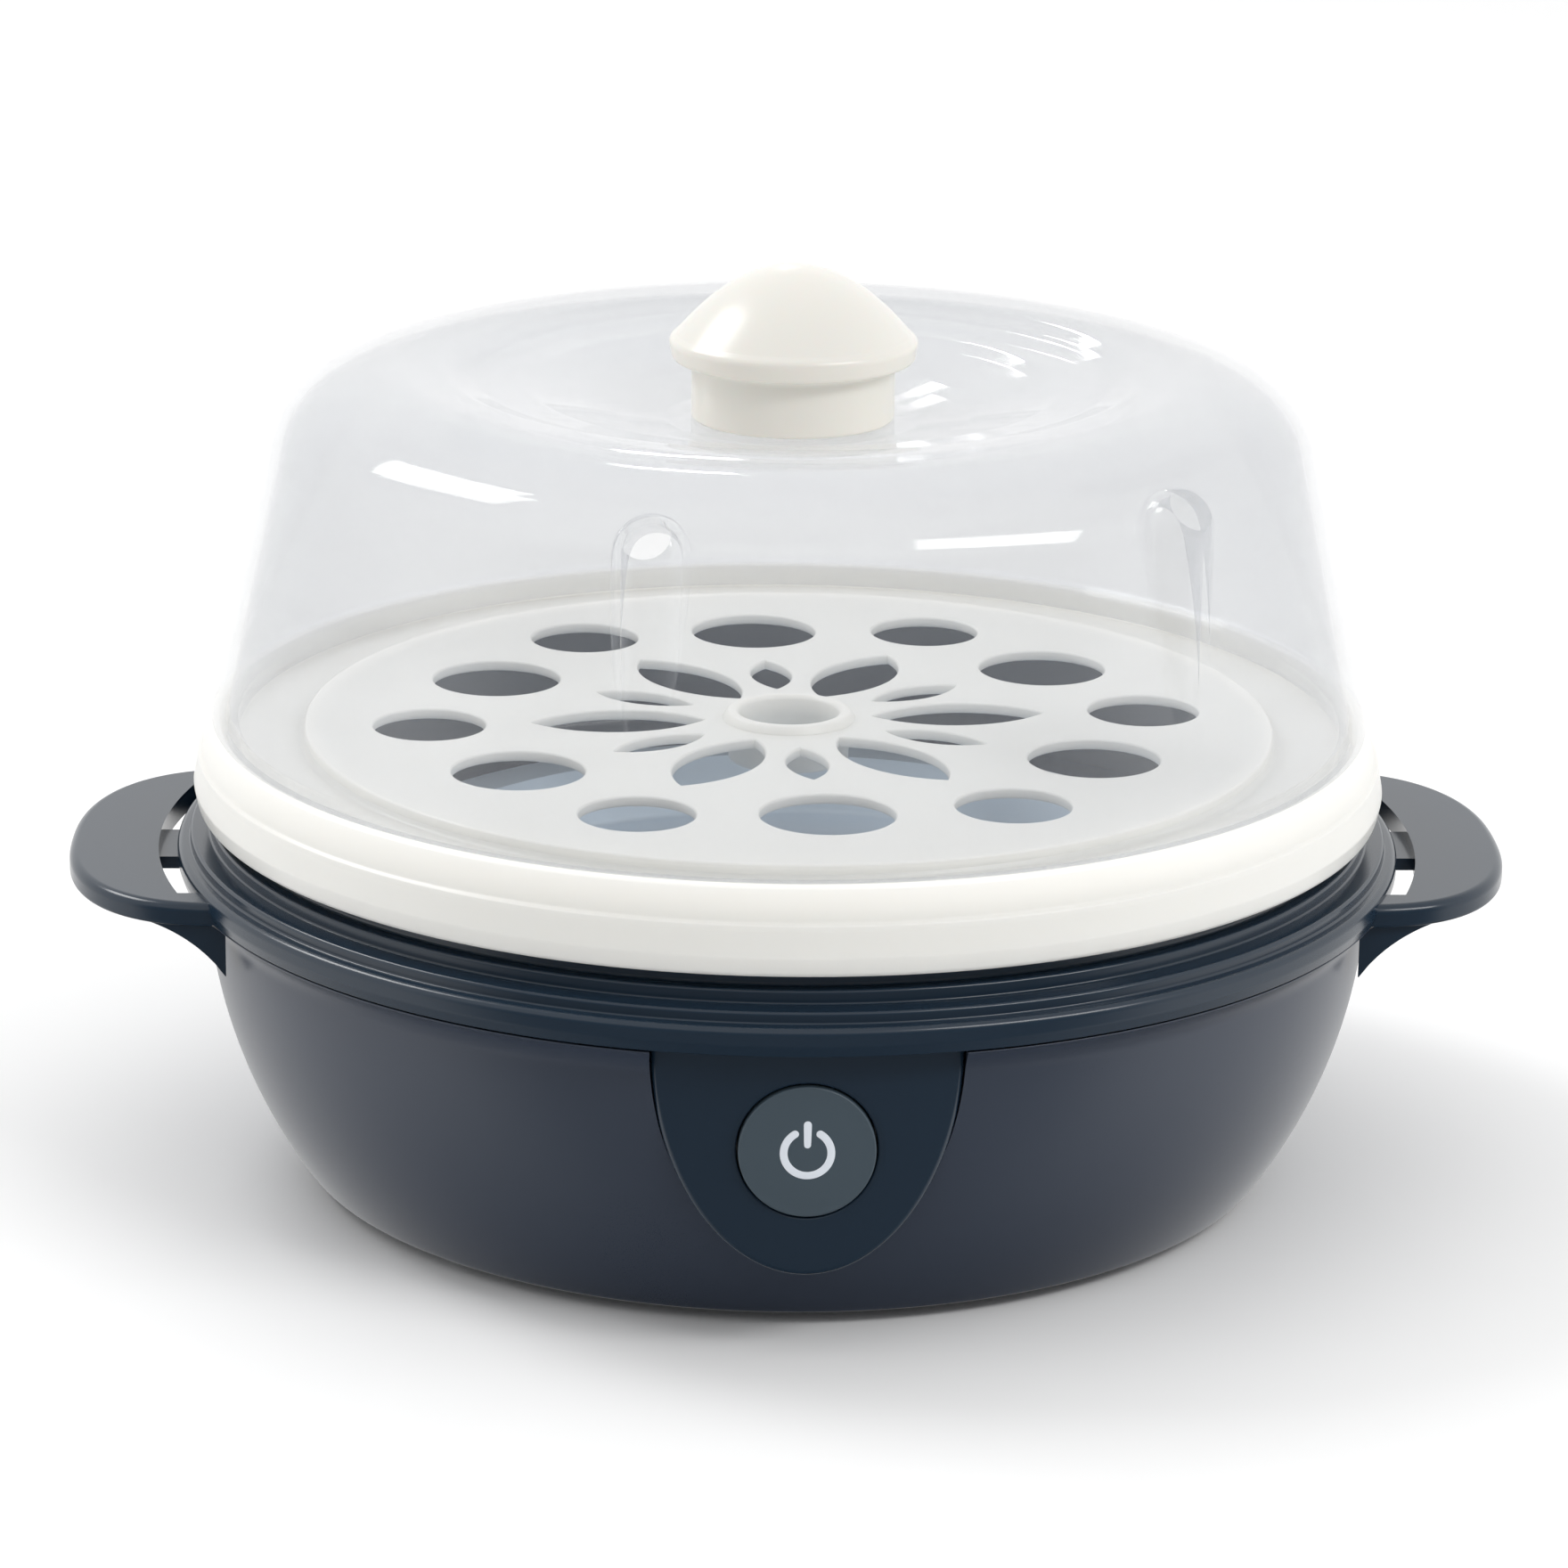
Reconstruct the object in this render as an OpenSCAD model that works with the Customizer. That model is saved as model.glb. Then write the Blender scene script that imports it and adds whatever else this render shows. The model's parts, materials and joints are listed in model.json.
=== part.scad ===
// Seven-egg cooker: a round heated base with two side handles, a lift-out
// egg tray and a clear domed lid. Units are millimetres, +Z is up, the
// button faces -Y and the handles point along X. The feet stand on z = 0.

/* [Base] */
// Radius of the bowl where its side turns vertical
bowl_r = 84.5; // [84.2:0.1:84.8]
// Radius of the arc that the bowl's side follows
side_arc_r = 73; // [71:0.5:75]
// Wall thickness of the bowl
wall = 2.2; // [1.8:0.1:2.4]
// Height of the bowl's bottom edge above the table
foot_h = 2; // [1.6:0.1:2]
// Height of the seam between the bowl and the upper housing
seam_z = 44.8; // [44.6:0.1:45]
// Outer radius of the upper housing's rim
rim_r = 88.5; // [88.4:0.1:89]

/* [Handles] */
// Distance from the centre to the tip of a handle
handle_reach = 104; // [102:0.5:106]
// Half of a handle's width where it leaves the rim
handle_half_w = 33.5; // [31:0.5:35]
// Height of a handle's top face
handle_top = 47.9; // [47.4:0.1:48.2]
// Thickness of a handle at its tip
handle_t = 3.3; // [2.8:0.1:3.5]
// Width of the relief slot between a handle and the rim
handle_slot = 2.7; // [2:0.1:3.5]

/* [Button] */
// Diameter of the push button
button_d = 18.4; // [16:0.2:19]
// Height of the button's centre
button_z = 30.4; // [29.5:0.1:31.5]
// How far the button moves when it is pressed
button_travel = 2; // [1:0.1:2]
// Half width of the bib that carries the button, at the seam
bib_half_w = 20.9; // [19.5:0.1:22]
// Height of the bib below the seam
bib_h = 31.4; // [30:0.1:32]
// Radius of the bib's face about the cooker's axis
bib_r = 84.2; // [83.6:0.1:84.6]

/* [Tray] */
// Height of the tray's upper face
tray_z = 65.7; // [65.5:0.1:66]
// Diameter of the six egg seats in the ring
egg_hole_d = 18.8; // [17:0.2:20]
// Distance from the centre to an egg seat
egg_ring_r = 47.2; // [46:0.1:48]
// Diameter of the six steam holes between the egg seats
steam_hole_d = 16.2; // [14:0.2:17]
// Distance from the centre to a steam hole
steam_ring_r = 52.1; // [51:0.1:53]
// Diameter of the middle egg seat
centre_hole_d = 14.6; // [13:0.2:16]
// Turn of the hole pattern about the cooker's axis
tray_turn = 4.55; // [0:0.05:10]

/* [Lid] */
// Radius of the lid at its lower edge
lid_r = 83.4; // [83:0.1:83.6]
// Lean of the lid's wall from the vertical
lid_lean = 12.5; // [12:0.1:13]
// Thickness of the lid
lid_t = 1.9; // [1.6:0.1:2.2]
// Radius of a steam vent's column
vent_r = 5.4; // [5:0.1:6]
// Diameter of the hole in the top of each vent
vent_hole_d = 6.6; // [5:0.2:7]

/* [Knob] */
// Radius of the knob's cap
knob_r = 17.8; // [16.5:0.1:18.5]
// Height of the knob's cap above its rim
knob_dome_h = 9.8; // [8:0.1:11]
// Radius of the knob's neck
knob_neck_r = 14.5; // [13:0.1:15]

/* [Hidden] */
$fn = 96;

// Small numbers shared by the outlines
eps = 0.01;
gap = 0.3;
arc_n = 10;

// Bowl: the side is an arc about (bowl_cx, bowl_cz)
bowl_cx = bowl_r - side_arc_r;
bowl_cz = seam_z - 0.8;
lip_z = 40;
lip_top = seam_z - 0.15;
lip_flare = 3.5;
ledge_bottom = foot_h + 2.6;
ledge_top = ledge_bottom + 2.2;
ledge_r = 58;
skirt_r = 68;

// Upper housing
housing_z = seam_z + 0.15;
spigot_r = 82;
collar_in = 79.6;
collar_top = 61.6;
spigot_bottom = 41.2;
floor_top = 40.4;
floor_t = 2;
plate_opening_r = 61;
pillar_ring_r = 64;
pillar_r = 3.6;
pilot_r = 1.3;
screw_hole_r = 1.9;
boss_ring_r = 70;
boss_r = 3.5;
bracket_z = 21.4;
bracket_t = 1.5;
boss_bottom = bracket_z + bracket_t;

// Button group, measured along Y from the cooker's axis
guide_front = 77.4;
guide_back = 73.6;
cap_front = bib_r + 0.7;
cap_t = 1.5;
cap_back = guide_front + button_travel + 0.4;
stem_r = 3;
stem_end = 73;
sleeve_back = guide_front + 0.05;
screw_x = 13.8;
screw_z = button_z + 3.6;
screw_boss_r = 3;
button_clear = 0.25;
switch_front = 70.5;
switch_back = 58.5;
plunger_r = 2;
plunger_tip = 72.9;
plunger_end = 64;
fit_clear = 0.06;

// Heating group, from the plate downwards
plate_t = 1;
plate_flange_z = 41.2;
plate_flange_r = 66;
plate_floor_r = 56;
plate_floor_z = 34;
spreader_r = 46;
spreader_top = plate_floor_z - plate_t - 0.05;
spreader_t = 3;
spreader_z = spreader_top - spreader_t;
element_ring_r = 38;
element_r = 3.3;
element_z = spreader_z - element_r - 0.2;
element_gap_a = 50;
stud_ring_r = 24;
stud_r = 2;

// Cord gland, along +Y at the back
gland_z = 16;
gland_face = 82.4;
gland_r = 5.3;
gland_bore_r = 3.4;
gland_len = 15.4;

// Tray
tray_t = 1.6;
tray_ring_top = 67;
moat_in = 70;
moat_floor = tray_z - 2.2;
moat_under = collar_top + 0.3;

// Lid
lid_z = tray_ring_top + gap;
shoulder_r = 13;
shoulder_z = 106.4;
crest_r = 55;
crest_z = 118.1;
lid_centre_z = 110.4;
vent_axis_r = 74.3;
vent_top = 108.6;
vent_az = [-106.3, -48.8];
knob_rim_z = 119;
knob_rim_h = 3.7;

// Points of an arc about [cx, cy] from angle a0 to angle a1
function arc(cx, cy, r, a0, a1, n = arc_n) =
    [for (i = [0:n]) [cx + r * cos(a0 + (a1 - a0) * i / n),
                      cy + r * sin(a0 + (a1 - a0) * i / n)]];

// Half breadth of a rounded outline: 1 at its middle, 0 at its end
function swell(t, n) = pow(max(0, 1 - pow(abs(t), n)), 1 / n);

// Points of a closed outline reversed
function backwards(p) = [for (i = [len(p) - 1:-1:0]) p[i]];

// Radius of the bowl's outer face at height z, moved inwards by t
function bowl_at(z, t = 0) =
    bowl_cx + sqrt(pow(side_arc_r - t, 2) - pow(bowl_cz - z, 2));

// The bowl's lip flares outwards above lip_z
function lip_points(t) =
    [for (i = [0:5]) [bowl_at(lip_z, t) + lip_flare * pow(i / 5, 2),
                      lip_z + (lip_top - lip_z) * i / 5]];

module ring(r_out, r_in, z0, z1) {
    translate([0, 0, z0])
        difference() {
            cylinder(r = r_out, h = z1 - z0);
            translate([0, 0, -eps])
                cylinder(r = r_in, h = z1 - z0 + 2 * eps);
        }
}

// A rod along Y from y0 to y1 at height z
module y_rod(r, y0, y1, z, x = 0) {
    translate([x, y0, z])
        rotate([-90, 0, 0])
            cylinder(r = r, h = y1 - y0);
}

// Copies of the children round the Z axis
module around(angles, r) {
    for (a = angles)
        rotate([0, 0, a])
            translate([r, 0, 0])
                children();
}

// Outline of the bib in X and Z, grown by g
function bib_outline(g) =
    let (n = 24, e = 2, w = bib_half_w + g, h = bib_h + g)
    concat([for (i = [-n:n]) [w * sin(90 * i / n),
                              seam_z - 0.8 - h * swell(sin(90 * i / n), e)]],
           [[w, seam_z + 1.6], [-w, seam_z + 1.6]]);

// The bib's outline as a block from y = -y1 to y = -y0
module bib_block(g, y0, y1) {
    translate([0, -y0, 0])
        rotate([90, 0, 0])
            linear_extrude(y1 - y0)
                polygon(bib_outline(g));
}

module lower_shell_profile() {
    bottom_r = bowl_at(foot_h);
    outer = [for (i = [1:14]) let (z = foot_h + (lip_z - foot_h) * i / 15) [bowl_at(z), z]];
    inner = [for (i = [0:14])
             let (z = lip_z - (lip_z - ledge_top) * i / 14) [bowl_at(z, wall), z]];
    polygon(concat([[skirt_r, foot_h], [bottom_r - 0.8, foot_h], [bottom_r - 0.1, foot_h + 0.4]],
                   outer, lip_points(0), backwards(lip_points(wall)), inner,
                   [[ledge_r, ledge_top], [ledge_r, ledge_bottom], [skirt_r, ledge_bottom]]));
}

pillar_angles = [45, 135, 225, 315];

module lower_shell() {
    pad_r = 9.5;
    pad_in_r = 76.5;
    color("#4b5763")
        difference() {
            union() {
                rotate_extrude()
                    lower_shell_profile();
                intersection() {
                    y_rod(pad_r, 70, gland_face, gland_z);
                    ring(100, pad_in_r, foot_h + 4, lip_z);
                }
            }
            bib_block(gap, 60, 95);
            y_rod(gland_r + 0.05, 60, 90, gland_z);
            around(pillar_angles, pillar_ring_r)
                cylinder(r = screw_hole_r, h = ledge_top + 1);
        }
}

module housing_profile() {
    band = concat([[rim_r - 0.6, housing_z], [rim_r - 0.1, housing_z + 1]],
                  arc(rim_r - 1.3, housing_z + 2.6, 1.3, 0, 75));
    step_1 = concat([[rim_r - 1.7, housing_z + 4.1]],
                    arc(rim_r - 2.4, housing_z + 5.2, 0.5, 0, 90, 4));
    step_2 = concat([[rim_r - 4.3, housing_z + 5.9], [rim_r - 4.6, housing_z + 6.2]],
                    arc(rim_r - 5.2, housing_z + 7.3, 0.5, 0, 90, 4));
    collar = concat([[spigot_r + 0.4, housing_z + 7.9], [spigot_r, housing_z + 8.2]],
                    arc(spigot_r - 0.6, collar_top - 0.6, 0.6, 0, 90, 4),
                    arc(collar_in + 0.6, collar_top - 0.6, 0.6, 90, 180, 4));
    inside = concat(arc(collar_in - 5, floor_top + 8.2, 5, 0, -75),
                    [[plate_flange_r + 1.2, floor_top], [plate_opening_r, floor_top],
                     [plate_opening_r, floor_top - floor_t],
                     [plate_flange_r + 1.2, floor_top - floor_t],
                     [collar_in - 2.2, spigot_bottom], [spigot_r, spigot_bottom],
                     [spigot_r, housing_z + 4.6]]);
    cavity = [[rim_r - 4.1, housing_z + 4.3], [rim_r - 3.9, housing_z + 2.4],
              [rim_r - 2.3, housing_z + 2.2], [rim_r - 2.3, housing_z]];
    polygon(concat(band, step_1, step_2, collar, inside, cavity));
}

// The bib is a cup, open at the back, that carries the button
module bib() {
    bib_wall = 2;
    difference() {
        intersection() {
            bib_block(0, 72, 95);
            ring(bib_r, 70, 5, housing_z + 1.2);
        }
        intersection() {
            bib_block(-bib_wall, 60, 95);
            translate([0, 0, -bib_wall])
                cylinder(r = bib_r - bib_wall, h = seam_z);
        }
    }
    y_rod(button_d / 2 + 2.5, -bib_r + 1.2, -sleeve_back, button_z);
    for (side = [-1, 1])
        y_rod(screw_boss_r, -bib_r + 1.9, -sleeve_back, screw_z, side * screw_x);
}

// Outline of a handle seen from above, with its edge moved inwards by d
function handle_outline(d) =
    let (n = 28, e = 2.4, x0 = 80, a = handle_reach - x0 - d, b = handle_half_w - d)
    concat([[60, -b]], [for (i = [-n:n]) [x0 + a * swell(sin(90 * i / n), e),
                                          b * sin(90 * i / n)]], [[60, b]]);

// Side view of the web under a handle: it sweeps down to the bowl
module handle_web_side() {
    top = handle_top - 1;
    tip_x = 94;
    foot_x = 79;
    foot_z = 35;
    rise = handle_top - handle_t - foot_z;
    curve = [for (i = [0:12]) let (u = i / 12)
             [tip_x - (tip_x - foot_x) * (1 - pow(1 - u, 1.6)), foot_z + rise * (1 - pow(u, 2.2))]];
    polygon(concat(curve, [[70, foot_z], [70, top], [tip_x, top]]));
}

module handle() {
    web_inset = 1.5;
    web_t = 2.6;
    slot_half = 28;
    strut_half = 6.5;
    underside = handle_top - handle_t;
    difference() {
        union() {
            translate([0, 0, underside])
                linear_extrude(handle_t)
                    polygon(handle_outline(0));
            intersection() {
                translate([0, 0, 30])
                    linear_extrude(handle_top - 31)
                        difference() {
                            polygon(handle_outline(web_inset));
                            polygon(handle_outline(web_inset + web_t));
                        }
                translate([0, handle_half_w + 1, 0])
                    rotate([90, 0, 0])
                        linear_extrude(2 * handle_half_w + 2)
                            handle_web_side();
            }
        }
        cylinder(r = spigot_r + 4.4, h = 60);
        rotate_extrude()
            polygon(concat([[0, 30]], [for (i = [0:5])
                    let (z = 30 + (lip_z - 30) * i / 5) [bowl_at(z) + gap, z]],
                    [for (p = lip_points(0)) [p[0] + gap, p[1] + gap]], [[0, lip_top + gap]]));
        intersection() {
            cylinder(r = rim_r + 0.1 + handle_slot, h = 60);
            translate([70, -slot_half, 30])
                cube([40, 2 * slot_half, 30]);
        }
    }
    translate([rim_r - 1.2, -strut_half, underside])
        cube([handle_slot + 1.6, 2 * strut_half, handle_t - 1.5]);
}

bracket_angles = [30, 150, 250];

module upper_housing() {
    color("#2b3a49")
        difference() {
            union() {
                rotate_extrude()
                    housing_profile();
                bib();
                handle();
                mirror([1, 0, 0])
                    handle();
                around(pillar_angles, pillar_ring_r)
                    translate([0, 0, ledge_top + 0.05])
                        cylinder(r = pillar_r, h = floor_top - 1 - ledge_top);
                around(bracket_angles, boss_ring_r)
                    translate([0, 0, boss_bottom])
                        cylinder(r = boss_r, h = floor_top - 1 - boss_bottom);
            }
            y_rod(button_d / 2 + button_clear, -95, -60, button_z);
            for (side = [-1, 1])
                y_rod(pilot_r, -bib_r + 3.6, -sleeve_back + eps, screw_z, side * screw_x);
            around(pillar_angles, pillar_ring_r)
                translate([0, 0, ledge_top])
                    cylinder(r = pilot_r, h = 12);
            around(bracket_angles, boss_ring_r)
                translate([0, 0, boss_bottom - eps])
                    cylinder(r = pilot_r, h = 10);
        }
}

cover_z = foot_h + 0.2;
cover_top = ledge_bottom - 0.05;
foot_ring_r = 52;
foot_r = 5.5;
foot_stem_r = 2.5;
foot_angles = [35, 145, 215, 325];

module bottom_cover() {
    vents = 5;
    vent_w = 2.4;
    color("#3a444e")
        difference() {
            translate([0, 0, cover_z])
                cylinder(r = skirt_r - 0.2, h = cover_top - cover_z);
            around(pillar_angles, pillar_ring_r)
                cylinder(r = screw_hole_r, h = cover_top + 1);
            around(foot_angles, foot_ring_r)
                cylinder(r = foot_stem_r, h = cover_top + 1);
            for (i = [0:vents - 1])
                translate([-12, 14 + 5 * i, 0])
                    cube([24, vent_w, cover_top + 1]);
        }
}

module rubber_feet() {
    color("#22262a")
        around(foot_angles, foot_ring_r) {
            cylinder(r1 = foot_r - 0.6, r2 = foot_r, h = cover_z - 0.02);
            cylinder(r = foot_stem_r - 0.05, h = cover_top - 0.3);
        }
}

// A pan-head screw pointing up, its head just under z = 0
module screw(r, head_r, head_h, length) {
    translate([0, 0, -head_h])
        difference() {
            cylinder(r = head_r, h = head_h);
            for (a = [0, 90])
                rotate([0, 0, a])
                    translate([-head_r * 0.6, -0.35, -eps])
                        cube([head_r * 1.2, 0.7, head_h / 2]);
        }
    translate([0, 0, -eps])
        cylinder(r = r, h = length);
}

module bottom_screws() {
    color("#9a9da0")
        around(pillar_angles, pillar_ring_r)
            translate([0, 0, cover_z - 0.02])
                screw(pilot_r - 0.05, 3, 1.3, 14);
}

module heating_plate() {
    slope = plate_flange_r - 6;
    color("#6d757c")
        rotate_extrude()
            polygon(concat([[0, plate_floor_z - plate_t]],
                           arc(plate_floor_r - 1, plate_floor_z + 2 - plate_t, 2, -90, -30, 4),
                           [[slope, plate_flange_z], [plate_flange_r, plate_flange_z],
                            [plate_flange_r, plate_flange_z + plate_t],
                            [slope - 0.7, plate_flange_z + plate_t]],
                           arc(plate_floor_r - 1.4, plate_floor_z + 1.2, 1.2, -30, -90, 4),
                           [[0, plate_floor_z]]));
}

module plate_gasket() {
    color("#8a3b32")
        ring(plate_flange_r - 0.3, plate_opening_r + 0.4, floor_top + 0.02, plate_flange_z - 0.02);
}

module heat_spreader() {
    color("#c3c6c8") {
        translate([0, 0, spreader_z])
            cylinder(r = spreader_r, h = spreader_t);
        around(bracket_angles, stud_ring_r)
            translate([0, 0, bracket_z - 4])
                cylinder(r = stud_r, h = spreader_z - bracket_z + 4 + eps);
    }
}

terminal_angles = [90 - element_gap_a / 2, 90 + element_gap_a / 2];
lead_bottom = element_z - element_r - 4.5;

module heating_element() {
    sweep_a = 360 - element_gap_a;
    color("#7d6f66") {
        translate([0, 0, element_z])
            rotate([0, 0, 90 + element_gap_a / 2])
                rotate_extrude(angle = sweep_a)
                    translate([element_ring_r, 0])
                        circle(r = element_r, $fn = 32);
        around(terminal_angles, element_ring_r) {
            translate([0, 0, element_z])
                sphere(r = element_r + 0.15, $fn = 32);
            translate([0, 0, lead_bottom])
                cylinder(r = element_r - 0.6, h = element_z - lead_bottom);
        }
    }
}

module element_terminals() {
    bush_h = 2;
    blade = 5;
    color("#d9d4c4")
        around(terminal_angles, element_ring_r)
            translate([0, 0, lead_bottom - bush_h]) {
                cylinder(r = 2.2, h = bush_h - 0.02);
                translate([-2.4, -0.4, -blade])
                    cube([4.8, 0.8, blade + eps]);
            }
}

module element_bracket() {
    arm_w = 12;
    hub_r = 12;
    color("#b5b8ba")
        translate([0, 0, bracket_z])
            linear_extrude(bracket_t)
                difference() {
                    union() {
                        circle(r = hub_r);
                        for (a = bracket_angles)
                            rotate(a)
                                translate([0, -arm_w / 2])
                                    square([boss_ring_r + boss_r, arm_w]);
                    }
                    around(bracket_angles, stud_ring_r)
                        circle(r = stud_r + 0.2);
                    around(bracket_angles, boss_ring_r)
                        circle(r = pilot_r + 0.3);
                }
}

module bracket_nuts() {
    nut_h = 2.4;
    color("#a9a38a")
        around(bracket_angles, stud_ring_r)
            translate([0, 0, bracket_z - nut_h - 0.02])
                difference() {
                    cylinder(r = 4, h = nut_h, $fn = 6);
                    translate([0, 0, -eps])
                        cylinder(r = stud_r + 0.05, h = nut_h + 1);
                }
}

module bracket_screws() {
    color("#9a9da0")
        around(bracket_angles, boss_ring_r)
            translate([0, 0, bracket_z - 0.02])
                screw(pilot_r - 0.05, 2.8, 1.8, 11);
}

thermostat_r = 8.5;
thermostat_blade = 6;

module thermostat() {
    color("#2f2b28")
        difference() {
            union() {
                translate([0, 0, boss_bottom + 0.05])
                    cylinder(r = 5, h = 3);
                translate([0, 0, boss_bottom + 2])
                    cylinder(r = thermostat_r, h = spreader_z - boss_bottom - 2.05);
                translate([-thermostat_r - thermostat_blade, -2.4, spreader_z - 4.4])
                    cube([2 * (thermostat_r + thermostat_blade), 4.8, 0.8]);
            }
            ring(thermostat_r - 1.6, thermostat_r - 2.4, spreader_z - 0.6, spreader_z + 1);
        }
}

fuse_y = -18;
fuse_z = 27.4;
fuse_r = 2.1;
fuse_half = 6.5;

// A rod along X, centred on x = 0
module x_rod(r, half, y, z) {
    translate([-half, y, z])
        rotate([0, 90, 0])
            cylinder(r = r, h = 2 * half);
}

module thermal_fuse() {
    color("#b9b29a") {
        x_rod(fuse_r, fuse_half, fuse_y, fuse_z);
        x_rod(0.5, fuse_half + 7, fuse_y, fuse_z);
    }
}

module fuse_clip() {
    clip_half = 2.5;
    clip_t = 0.7;
    tab = 4;
    color("#c8cacc") {
        intersection() {
            difference() {
                x_rod(fuse_r + 0.05 + clip_t, clip_half, fuse_y, fuse_z);
                x_rod(fuse_r + 0.05, clip_half + 1, fuse_y, fuse_z);
            }
            translate([-clip_half - 1, fuse_y - 4, fuse_z - 4])
                cube([2 * clip_half + 2, 8, 5]);
        }
        for (side = [-1, 1])
            translate([-clip_half, fuse_y + side * (fuse_r + tab / 2 + 0.3) - tab / 2, fuse_z + 0.9])
                cube([2 * clip_half, tab, spreader_z - fuse_z - 0.95]);
    }
}

switch_half_w = 10;
switch_h = 11;
switch_blade_x = 5;
switch_blade = 5;

module switch_body() {
    bore_depth = switch_front - 61.4;
    color("#1f2225") {
        difference() {
            translate([-switch_half_w, -switch_front, button_z - switch_h / 2])
                cube([2 * switch_half_w, switch_front - switch_back, switch_h]);
            y_rod(plunger_r + fit_clear, -switch_front - eps, -switch_front + bore_depth, button_z);
        }
        for (side = [-1, 1])
            translate([side * switch_blade_x - 2.4, -switch_back - eps, button_z - 0.4])
                cube([4.8, switch_blade, 0.8]);
    }
}

// Sheet bracket behind the bib: it guides the stem and holds the switch
module switch_bracket() {
    plate_half_w = 11.5;
    plate_half_h = 7;
    wing_half_w = 15.8;
    wing_half_h = 3;
    sheet = 1.4;
    arm_gap = switch_half_w + 0.05;
    color("#b5b8ba")
        difference() {
            union() {
                translate([-plate_half_w, -guide_front, button_z - plate_half_h])
                    cube([2 * plate_half_w, sheet, 2 * plate_half_h]);
                translate([-wing_half_w, -guide_front, screw_z - wing_half_h])
                    cube([2 * wing_half_w, sheet, 2 * wing_half_h]);
                y_rod(5, -guide_front, -guide_back, button_z);
                for (side = [-1, 1])
                    translate([side * (arm_gap + sheet / 2) - sheet / 2, -guide_front,
                               button_z - 4])
                        cube([sheet, guide_front - switch_back - 2, 8]);
            }
            y_rod(stem_r + fit_clear, -guide_front - 1, -guide_back + 1, button_z);
            for (side = [-1, 1])
                y_rod(pilot_r, -guide_front - 1, -guide_front + sheet + 1, screw_z,
                      side * screw_x);
        }
}

module switch_screws() {
    color("#9a9da0")
        for (side = [-1, 1])
            translate([side * screw_x, -guide_front + 1.42, screw_z])
                rotate([90, 0, 0])
                    screw(pilot_r - 0.25, 2.2, 1.2, 4.2);
}

block_y = 43.5;
block_x = 8;

module terminal_block() {
    block_len = 11;
    block_h = 10;
    half_w = 13;
    color("#e6e2d6")
        difference() {
            translate([-half_w, block_y, cover_top + 0.02])
                cube([2 * half_w, block_len, block_h]);
            for (x = [-block_x, 0, block_x])
                translate([x, block_y + block_len / 2, cover_top + 4])
                    cylinder(r = 1.8, h = block_h);
        }
}

function unit(v) = v / norm(v);

// Directions along a route, and side vectors carried along it without twist
function tangents(p) =
    [for (i = [0:len(p) - 1]) unit(p[min(i + 1, len(p) - 1)] - p[max(i - 1, 0)])];
function carried(t, i, u) =
    i == len(t) ? [] :
    let (v = unit(u - t[i] * (t[i] * u))) concat([v], carried(t, i + 1, v));

// Corners cut twice, so that a route of a few points becomes a curve
function cut_corners(p) =
    concat([p[0]],
           [for (i = [0:len(p) - 2]) each [p[i] * 0.75 + p[i + 1] * 0.25,
                                           p[i] * 0.25 + p[i + 1] * 0.75]],
           [p[len(p) - 1]]);

// A round tube that follows the points p
module tube(p, r, sides = 8) {
    t = tangents(p);
    u = carried(t, 0, unit(cross(t[0], abs(t[0][2]) < 0.9 ? [0, 0, 1] : [1, 0, 0])));
    points = [for (i = [0:len(p) - 1]) let (w = cross(t[i], u[i]))
              each [for (k = [0:sides - 1]) p[i] + r * (u[i] * cos(360 * k / sides)
                                                        + w * sin(360 * k / sides))]];
    last = (len(p) - 1) * sides;
    walls = [for (i = [0:len(p) - 2]) each [for (k = [0:sides - 1]) let (n = (k + 1) % sides)
             each [[i * sides + k, (i + 1) * sides + k, (i + 1) * sides + n],
                   [i * sides + k, (i + 1) * sides + n, i * sides + n]]]];
    polyhedron(points, concat([[for (k = [0:sides - 1]) k]], walls,
                              [[for (k = [sides - 1:-1:0]) last + k]]), convexity = 6);
}

wire_r = 1.1;
blade_end = switch_back - switch_blade - 0.1;
fuse_end = fuse_half + 7.1;
thermostat_end = thermostat_r + thermostat_blade + 0.1;
thermostat_z = spreader_z - 4;
terminal_x = element_ring_r * cos(terminal_angles[0]);
terminal_y = element_ring_r * sin(terminal_angles[0]);
terminal_z = lead_bottom - 7.1;

module wire(route) {
    tube(cut_corners(cut_corners(route)), wire_r);
}

// From the terminal block to the switch
module wire_live() {
    color("#7a4a2c")
        wire([[block_x, block_y - 0.1, 10], [block_x, 34, 8.5], [5, 0, 8.5], [-4, -30, 11],
              [-switch_blade_x, -44, 22], [-switch_blade_x, -47, button_z],
              [-switch_blade_x, -blade_end, button_z]]);
}

// From the switch to the thermostat
module wire_switched() {
    color("#7a4a2c")
        wire([[switch_blade_x, -blade_end, button_z], [switch_blade_x, -47, button_z],
              [8, -43, 20], [14, -32, 14], [23, -8, 14], [23, 0, 20], [21, 0, thermostat_z],
              [thermostat_end, 0, thermostat_z]]);
}

// From the thermostat to the fuse
module wire_bridge() {
    color("#c9c4b6")
        wire([[-thermostat_end, 0, thermostat_z], [-17, 0, thermostat_z],
              [-17.5, -5, thermostat_z], [-17, -18, fuse_z], [-fuse_end, fuse_y, fuse_z]]);
}

// From the fuse to the heating element
module wire_fused() {
    color("#c9c4b6")
        wire([[fuse_end, fuse_y, fuse_z], [19, -18, 26.5], [30, -10, 25], [30, 2, 17],
              [27, 20, 10], [terminal_x, 30, 7], [terminal_x, terminal_y, terminal_z - 1.5],
              [terminal_x, terminal_y, terminal_z]]);
}

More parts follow.
